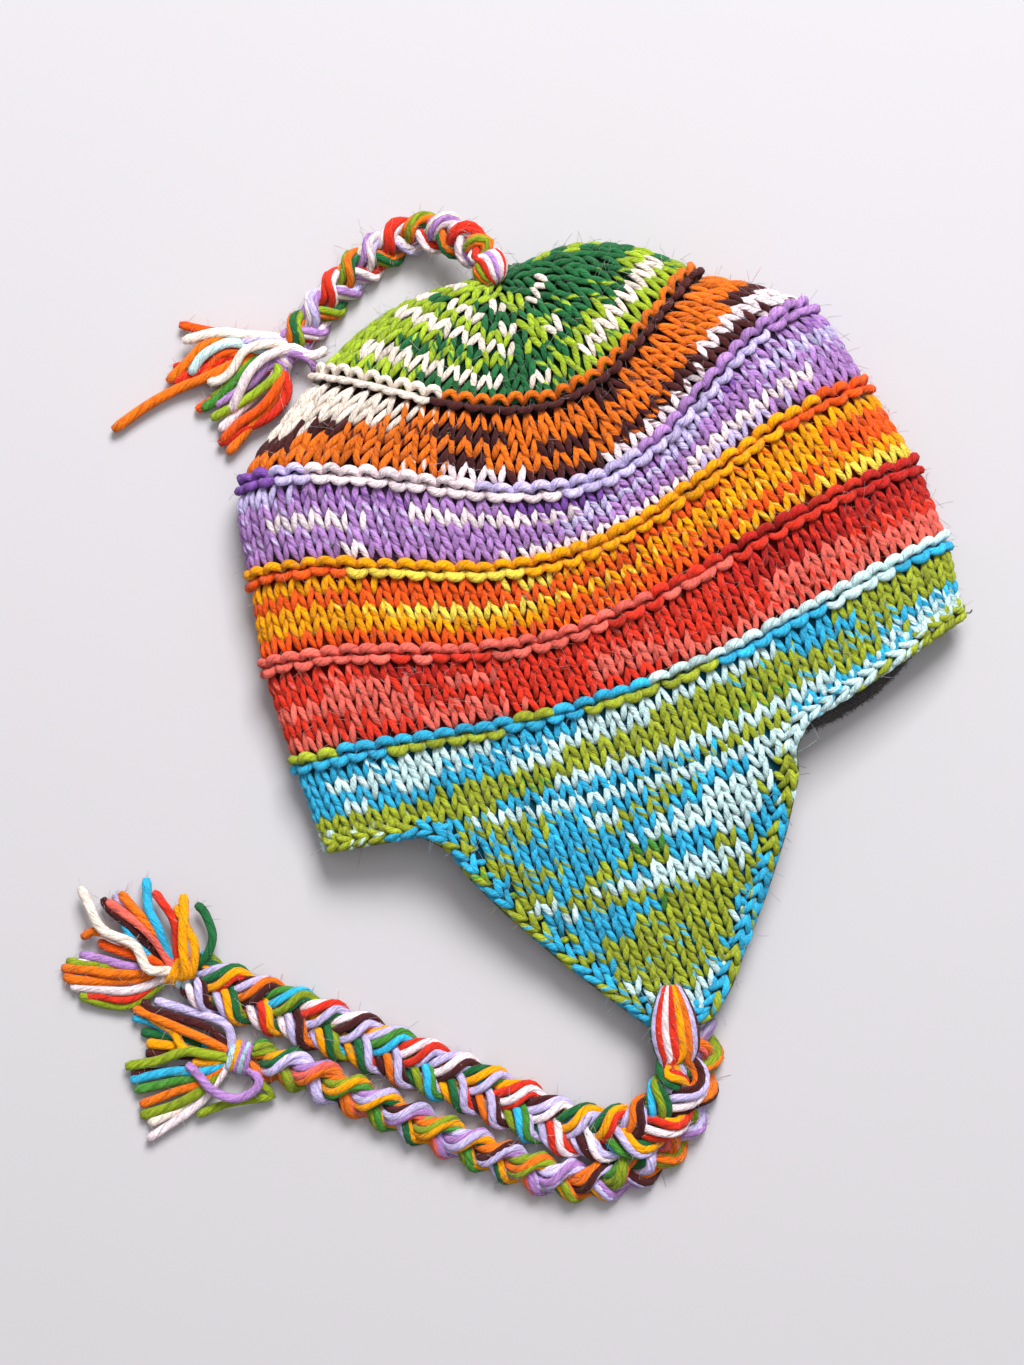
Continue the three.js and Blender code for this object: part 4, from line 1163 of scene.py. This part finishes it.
# Yarns of each tassel, one a line: its dye, and the points x y z that it passes after the wrap, in mm
TASSELS = {
    "tie_upper": """
        w -211 -27 3, -230 -19 3, -250 -15 2
        L -212 -24 3, -238 -9 4, -249 -3 3
        L -214 -31 4, -228 -28 4, -239 -25 3, -249 -18 3
        m -207 -17 6, -218 -1 7, -225 10 6, -227 16 5
        v -206 -18 5, -212 -1 6, -222 15 4
        s -208 -19 5, -220 -7 7, -222 6 5, -224 9 4
        w -212 -24 5, -228 -14 5, -241 -7 4, -245 -5 3
        R -214 -29 5, -229 -26 5, -240 -21 4, -247 -19 3
        o -211 -22 5, -222 -6 7, -233 4 6, -240 4 4
        r -211 -22 6, -222 -10 7, -231 -3 6, -234 0 4
        o -212 -26 6, -230 -18 5, -248 -11 4, -252 -8 3
        C -207 -20 8, -213 -4 10, -225 14 6
        o -205 -18 8, -211 -4 10, -216 8 8, -219 15 5
        s -205 -16 9, -209 -4 11, -210 6 9, -207 17 5
        R -203 -16 7, -202 -4 9, -205 7 8, -207 11 6
        p -211 -23 7, -224 -14 7, -235 -7 5, -243 -3 3
        w -213 -28 7, -228 -23 6, -243 -17 4, -251 -13 3
        o -212 -25 8, -229 -15 7, -243 -9 5, -252 -6 3
        d -199 -22 7, -193 -19 8, -189 -13 8, -190 -4 7, -193 1 6
        c -212 -25 9, -218 -17 12, -220 -6 11, -230 4 9, -232 17 8, -233 23 7
        y -203 -25 11, -197 -15 13, -198 -6 12, -200 3 9
        y -205 -24 12, -201 -11 14, -197 -1 12, -195 6 9
    """,
    "tie_lower": """
        d -195 -63 3, -218 -48 3, -231 -40 2
        m -195 -65 3, -214 -56 3, -232 -49 2
        m -198 -69 3, -220 -60 3, -240 -54 3
        c -198 -71 3, -220 -72 3, -240 -76 3
        s -194 -63 4, -215 -51 4, -224 -39 3, -232 -33 2
        y -196 -64 4, -214 -53 4, -230 -45 3
        w -197 -71 6, -213 -72 5, -224 -77 4, -243 -81 3
        L -197 -71 7, -214 -69 6, -228 -72 4, -242 -72 3
        o -197 -70 6, -214 -67 6, -227 -67 4, -241 -67 3
        G -197 -69 6, -213 -64 6, -226 -63 4, -241 -61 3
        m -191 -60 6, -203 -49 7, -215 -38 6, -224 -32 5, -225 -27 4
        v -190 -59 7, -197 -49 8, -208 -39 6, -221 -30 4
        y -194 -63 7, -215 -53 7, -218 -44 6, -225 -36 4
        s -196 -68 8, -212 -63 7, -224 -59 5, -241 -57 3
        y -195 -68 7, -207 -61 7, -215 -58 6
        o -193 -62 8, -206 -52 9, -218 -41 7, -230 -30 4
        L -194 -66 9, -208 -57 9, -216 -53 8, -228 -53 6, -241 -51 4
        L -192 -76 5, -190 -82 4, -196 -81 4, -208 -79 3, -221 -79 3
        p -192 -73 10, -196 -77 11, -204 -77 10, -211 -71 10, -214 -64 9, -217 -58 8
    """,
    "top": """
        r -83 197 3, -105 191 3, -125 187 2
        r -81 201 4, -95 208 4, -107 214 4, -119 221 3
        R -82 199 5, -97 202 5, -111 203 4, -127 206 3
        w -83 194 5, -92 187 5, -102 183 5, -118 176 3
        R -82 193 5, -87 182 6, -95 175 6, -108 172 5, -120 170 3
        R -82 198 6, -101 201 6, -116 201 5, -129 200 3
        o -82 193 6, -91 182 7, -102 175 6, -118 167 3
        G -82 197 6, -94 197 7, -101 194 7, -113 189 5, -122 186 3
        o -82 200 6, -96 207 7, -110 210 7, -120 206 5, -132 201 3
        o -83 198 6, -102 198 7, -117 197 6, -129 197 4, -143 195 3, -158 191 2
        L -82 197 7, -96 197 7, -106 193 6, -117 189 4
        p -82 195 7, -92 193 7, -101 189 6, -116 185 4
        c -82 201 7, -96 208 9, -106 212 8, -120 213 6
        r -82 197 7, -104 203 8, -113 201 6, -119 196 4
        l -82 194 8, -89 188 9, -97 185 8, -105 183 7, -120 181 4
        r -82 193 8, -89 185 9, -99 178 9, -110 175 7, -119 171 4
        v -82 199 8, -93 204 9, -101 205 8
        i -82 200 7, -100 206 9, -108 207 9, -115 205 8, -122 200 6
        c -82 198 9, -90 201 11, -98 201 11, -105 196 9, -111 194 8, -116 195 6
        w -82 196 9, -90 196 11, -98 193 11, -104 188 9, -111 181 6
        p -80 194 9, -75 190 8, -74 185 5
        w -80 196 9, -74 191 8, -67 191 7
    """,
}
# Turns of the wraps, from the braid to the tassel
WRAPS = {"tie_upper": "bbyy", "tie_lower": "pbpyb", "top": "wpwp"}
WRAP_LENGTH = 10


def tassel_yarns(name):
    """Letter and points of each yarn of a tassel."""
    for line in TASSELS[name].strip().splitlines():
        letter, points = line.split(maxsplit=1)
        yield letter, [tuple(map(float, point.split())) for point in points.split(",")]


def cord_end(route):
    """The last point of a braid, and the level directions along it and across it."""
    line = smooth_line(route, 200)
    along = line[-1] - line[-3]
    along[2] = 0
    along = unit(along)
    return line[-1], along, np.array((-along[1], along[0], 0))


def yarn_wrap(name, sizes):
    """Yarn wound round the end of a braid, as closed turns beside each other."""
    cord = CORDS[name]
    weave = Weave(cord["seed"] + 10)
    end, along, side = cord_end(cord["route"])
    turns = WRAPS[name]
    angle = np.linspace(0, TURN, 25)
    yarn = sizes.yarn * 0.8
    core = end + along * np.linspace(0, WRAP_LENGTH, 8)[:, None]
    broad, tall = cord["width"] * 0.29, cord["width"] * 0.2
    # The core is the first turn's dye darkened by half: painted shade in the gaps between the turns
    painted_shade_core = 0.5 * dye(turns[0])[None]
    weave.strands(core[None], UP, broad, tall, painted_shade_core, painted_shade_core, sides=12)
    for k, letter in enumerate(turns):
        at = (k + 0.5) * WRAP_LENGTH / len(turns)
        lean = 0.9 * np.sin(angle + 0.8 * k)
        across = (broad + 0.4 * yarn) * np.cos(angle)
        above = (tall + 0.4 * yarn) * np.sin(angle)
        ring = end + along * (at + lean)[:, None] + side * across[:, None] + UP * above[:, None]
        ring[:, 2] = np.maximum(ring[:, 2], 0.8 * yarn)
        away = unit(ring - end - along * at)
        ply = dye(letter)[None]
        weave.strands(ring[None], away[None], yarn * 1.15, yarn * 0.8, ply, ply * 0.9, sides=8)
        weave.fuzz(ring[None], away[None], ply, 14)
    return weave.mesh(name + "_wrap_yarn", material_of(BRAIDED))


def yarn_tassel(name, sizes, stations=22):
    """Loose yarns past the wrap, each along its own path."""
    cord = CORDS[name]
    weave = Weave(cord["seed"] + 20)
    rng = weave.rng
    end, along, side = cord_end(cord["route"])
    for number, (letter, route) in enumerate(tassel_yarns(name)):
        angle = 2.4 * number
        around = side * math.cos(angle) + 0.8 * UP * math.sin(angle)
        inside = end + along * (WRAP_LENGTH - 2.5) + 1.6 * around
        path = [(x, y, z + 0.6) for x, y, z in route]
        # Points beside the wrap are left out, so that the yarn doesn't cover it
        past = [np.dot(np.array(point) - end, along) > WRAP_LENGTH for point in path]
        if past[-1] and past[1]:
            path = path[past.index(True) :]
        line = smooth_line([inside, *path], stations)
        wobble = np.linspace(0, 1, stations)[:, None] * rng.normal(0, 0.5, 3)
        line = line + wobble * np.sin(np.linspace(0, 5, stations) + rng.uniform(0, TURN))[:, None]
        thick = sizes.yarn * rng.uniform(1.05, 1.28)
        profile = np.ones(stations)
        profile[0], profile[-1], profile[-2] = 0.8, 0.72, 1.05
        line[:, 2] = np.maximum(line[:, 2], 0.85 * thick)
        ply = dye(letter)[None] * (1 + 0.05 * rng.normal())
        wide = thick * profile
        weave.strands(line[None], UP, wide, 0.95 * wide, ply, ply * 0.9, sides=8, blunt=0.2)
        weave.fuzz(line[None], UP, ply, 16, reach=3.0)
        tip = np.repeat(line[None, -3:], 2, 0)
        weave.fuzz(tip, unit(line[-1] - line[-2]), np.repeat(ply, 2, 0), 6, reach=2.5)
    return weave.mesh(name + "_tassel_yarns", material_of(BRAIDED))


# ---- Settings


def length_prop(name, description, value):
    return FloatProperty(name=name, description=description, default=value, min=0.0, unit="LENGTH")


def colour_prop(name, description, code):
    return FloatVectorProperty(
        name=name, description=description, default=linear(code), min=0.0, max=1.0, size=3,
        subtype="COLOR",
    )


class HatSizes(bpy.types.PropertyGroup):
    """Sizes of the yarns and stitches"""

    stitch_width: length_prop("Stitch width", "Width of one knitted stitch", 0.0069)
    leg_width: length_prop("Stitch leg width", "Width of one leg of a stitch", 0.0028)
    braid_yarn: length_prop("Braid yarn width", "Thickness of a yarn in the braids", 0.0034)


class HatColours(bpy.types.PropertyGroup):
    """Dyes of the wool"""

    dark_green: colour_prop("Dark green", "Crown and braids", "#22683a")
    lime: colour_prop("Lime", "Crown and braids", "#a2bc2c")
    cream: colour_prop("Cream", "Crown", "#f8e8da")
    orange: colour_prop("Orange", "Brown band and braids", "#ee7418")
    maroon: colour_prop("Maroon", "Brown band and braids", "#4a1f20")
    lilac: colour_prop("Lilac", "Lilac band", "#b485c8")
    lavender: colour_prop("Lavender", "Lilac band and braids", "#cdbfee")
    blush: colour_prop("Blush", "Palest pink of the lilac band", "#f6e2e8")
    amber: colour_prop("Amber", "Orange band and braids", "#fba405")
    flame: colour_prop("Flame", "Orange-red of the orange band", "#f45a14")
    straw: colour_prop("Straw", "Light yellow of the orange band", "#fbdc50")
    red: colour_prop("Red", "Red band", "#e03420")
    deep_red: colour_prop("Deep red", "Red band and its ridge", "#bc221c")
    coral: colour_prop("Coral", "Light red of the red band", "#f06a5c")
    sky: colour_prop("Sky", "Blue of the lowest band, flaps and edging", "#33b2de")
    ice: colour_prop("Ice", "Palest blue", "#d2f0f2")
    olive: colour_prop("Olive", "Olive of the lowest band, flaps and edging", "#a0ac2e")
    green: colour_prop("Green", "Green of the lowest band", "#4b8e34")
    leaf: colour_prop("Leaf", "Braids", "#8c9f22")
    violet: colour_prop("Violet", "Darkest lilac", "#7f4ea6")
    charcoal: colour_prop("Charcoal", "Fleece lining", "#3b3638")
    soft_blue: colour_prop("Soft blue", "Wraps", "#b9d9e6")


class HatStage(bpy.types.PropertyGroup):
    """Camera, floor and lights"""

    camera_height: length_prop("Camera height", "Height of the camera over the floor", 1.1)
    floor_colour: colour_prop("Floor", "Backdrop paper", "#c0bdc1")
    key_power: FloatProperty(
        name="Key light", description="Power of the large soft light", default=126.0, subtype="POWER"
    )
    fill: FloatProperty(name="Fill", description="Strength of the light from all round", default=0.3)


# ---- Operators

# Where the photograph's middle lies in the cap's frame, in mm, and how far that frame is turned in it
PHOTO_MIDDLE = np.array((-43.0, 40.6, 0))
PHOTO_TURN = math.radians(-20.06)
# The photograph's 1365 pixels at 2.52 a millimetre, at the height of the fabric, in metres
PHOTO_HEIGHT = 0.5417
FABRIC_HEIGHT = 0.015
SENSOR = 36  # in mm
FLOOR_SIZE = 3.0
LIGHT_SIZE = 1.2
# Places of the lights, and shares of the key light's power
LIGHTS = {"key_light": ((1.0, 1.7, 2.2), 1.0), "fill_light": ((0.2, 0.3, 1.8), 0.07)}


class HAT_OT_stage(bpy.types.Operator):
    """Sets the camera, the floor and the lights"""

    bl_idname = "hat.stage"
    bl_label = "Stage"

    def execute(self, context):
        settings = context.scene.hat_stage
        height = settings.camera_height
        data = bpy.data.cameras.new("camera")
        data.sensor_fit = "VERTICAL"
        data.sensor_height = SENSOR
        data.lens = SENSOR * (height - FABRIC_HEIGHT) / PHOTO_HEIGHT
        camera = bpy.data.objects.new("camera", data)
        place = (*((PHOTO_MIDDLE + SHIFT) * MM)[:2], height)
        camera.matrix_world = Matrix.Translation(place) @ Matrix.Rotation(PHOTO_TURN, 4, "Z")
        context.scene.collection.objects.link(camera)
        context.scene.camera = camera
        paper = new_material("Backdrop paper, rolled and matt", backdrop_paper)
        floor = plane("floor", FLOOR_SIZE, paper)
        for name, (place, share) in LIGHTS.items():
            light = bpy.data.lights.new(name, "AREA")
            light.shape = "SQUARE"
            light.size = LIGHT_SIZE
            light.energy = share * settings.key_power
            obj = bpy.data.objects.new(name, light)
            obj.matrix_world = aimed(place, (0, 0, 0))
            context.scene.collection.objects.link(obj)
        world = bpy.data.worlds.new("studio")
        world.use_nodes = True
        background = world.node_tree.nodes["Background"]
        background.inputs["Color"].default_value = (1, 1, 1, 1)
        background.inputs["Strength"].default_value = settings.fill
        context.scene.world = world
        context.scene.view_settings.view_transform = "Standard"
        return {"FINISHED"}


def plane(name, size, material):
    """Level square at z = 0, with its middle at the origin."""
    half = size / 2
    mesh = bpy.data.meshes.new(name)
    corners = [(-half, -half, 0), (half, -half, 0), (half, half, 0), (-half, half, 0)]
    mesh.from_pydata(corners, [], [(0, 1, 2, 3)])
    mesh.materials.append(material)
    obj = bpy.data.objects.new(name, mesh)
    bpy.context.scene.collection.objects.link(obj)
    return obj


def aimed(place, target):
    """Matrix of a light at a place, turned so that it shines at a target."""
    away = unit(np.array(place) - np.array(target))
    right = unit(np.cross((0, 1, 0), away))
    up = np.cross(away, right)
    turned = Matrix([(*row, 0) for row in np.stack([right, up, away], 1)] + [(0, 0, 0, 1)])
    return Matrix.Translation(place) @ turned


class HAT_OT_bands(bpy.types.Operator):
    """Knits the five bands with the ridges at their tops"""

    bl_idname = "hat.bands"
    bl_label = "Bands"

    def execute(self, context):
        sizes = Sizes(context)
        for index in range(len(BANDS)):
            obj = knit_band(index, sizes)
            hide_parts("knit_cap")
        return {"FINISHED"}


class HAT_OT_crown(bpy.types.Operator):
    """Knits the crown"""

    bl_idname = "hat.crown"
    bl_label = "Crown"

    def execute(self, context):
        obj = knit_crown(Sizes(context))
        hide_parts("knit_cap")
        return {"FINISHED"}


class HAT_OT_flaps(bpy.types.Operator):
    """Knits both ear flaps"""

    bl_idname = "hat.flaps"
    bl_label = "Ear flaps"

    def execute(self, context):
        for upper, node in ((True, "earflap_upper"), (False, "earflap_lower")):
            obj = knit_flap(upper, Sizes(context))
            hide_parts(node)
        return {"FINISHED"}


class HAT_OT_edging(bpy.types.Operator):
    """Crochets the edging round the rim and the flaps"""

    bl_idname = "hat.edging"
    bl_label = "Edging"

    def execute(self, context):
        obj = crochet_edging(Sizes(context))
        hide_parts("edge_trim")
        return {"FINISHED"}


class HAT_OT_lining(bpy.types.Operator):
    """Lines the rim with fleece"""

    bl_idname = "hat.lining"
    bl_label = "Lining"

    def execute(self, context):
        obj = fleece_lining()
        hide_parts("fleece_lining")
        return {"FINISHED"}


class HAT_OT_cords(bpy.types.Operator):
    """Plaits the two ties and the topknot, with their wraps and tassels"""

    bl_idname = "hat.cords"
    bl_label = "Ties and topknot"

    def execute(self, context):
        sizes = Sizes(context)
        for name in CORDS:
            obj, fibres, span = braid(name, sizes)
            wrap = yarn_wrap(name, sizes)
            tassel = yarn_tassel(name, sizes)
            kind, _, which = name.partition("_")
            for piece, part in ((obj, "braid"), (fibres, "braid"), (wrap, "wrap"), (tassel, "tassel")):
                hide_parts("_".join(filter(None, (kind, part, which))))
            path = [tuple(point) for point in placed(smooth_line(CORDS[name]["route"], 30))]
            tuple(path[0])
        return {"FINISHED"}


class HAT_PT_panel(bpy.types.Panel):
    """Lists the pieces of the beanie"""

    bl_idname = "HAT_PT_panel"
    bl_label = "Earflap beanie"
    bl_space_type = "VIEW_3D"
    bl_region_type = "UI"
    bl_category = "Beanie"

    def draw(self, context):
        for operator in PIECES:
            self.layout.operator(operator.bl_idname)
        for settings in (context.scene.hat_sizes, context.scene.hat_colours, context.scene.hat_stage):
            for key in settings.__annotations__:
                self.layout.prop(settings, key)


PIECES = (
    HAT_OT_stage, HAT_OT_cords, HAT_OT_bands, HAT_OT_crown, HAT_OT_flaps, HAT_OT_edging, HAT_OT_lining,
)
CLASSES = (HatSizes, HatColours, HatStage, *PIECES, HAT_PT_panel)
SETTINGS = {"hat_sizes": HatSizes, "hat_colours": HatColours, "hat_stage": HatStage}


def register():
    for cls in CLASSES:
        bpy.utils.register_class(cls)
    for key, cls in SETTINGS.items():
        setattr(bpy.types.Scene, key, PointerProperty(type=cls))


def unregister():
    for key in SETTINGS:
        delattr(bpy.types.Scene, key)
    for cls in reversed(CLASSES):
        bpy.utils.unregister_class(cls)


def main():
    register()
    for operator in PIECES:
        group, name = operator.bl_idname.split(".")
        getattr(getattr(bpy.ops, group), name)()


if __name__ == "__main__":
    main()
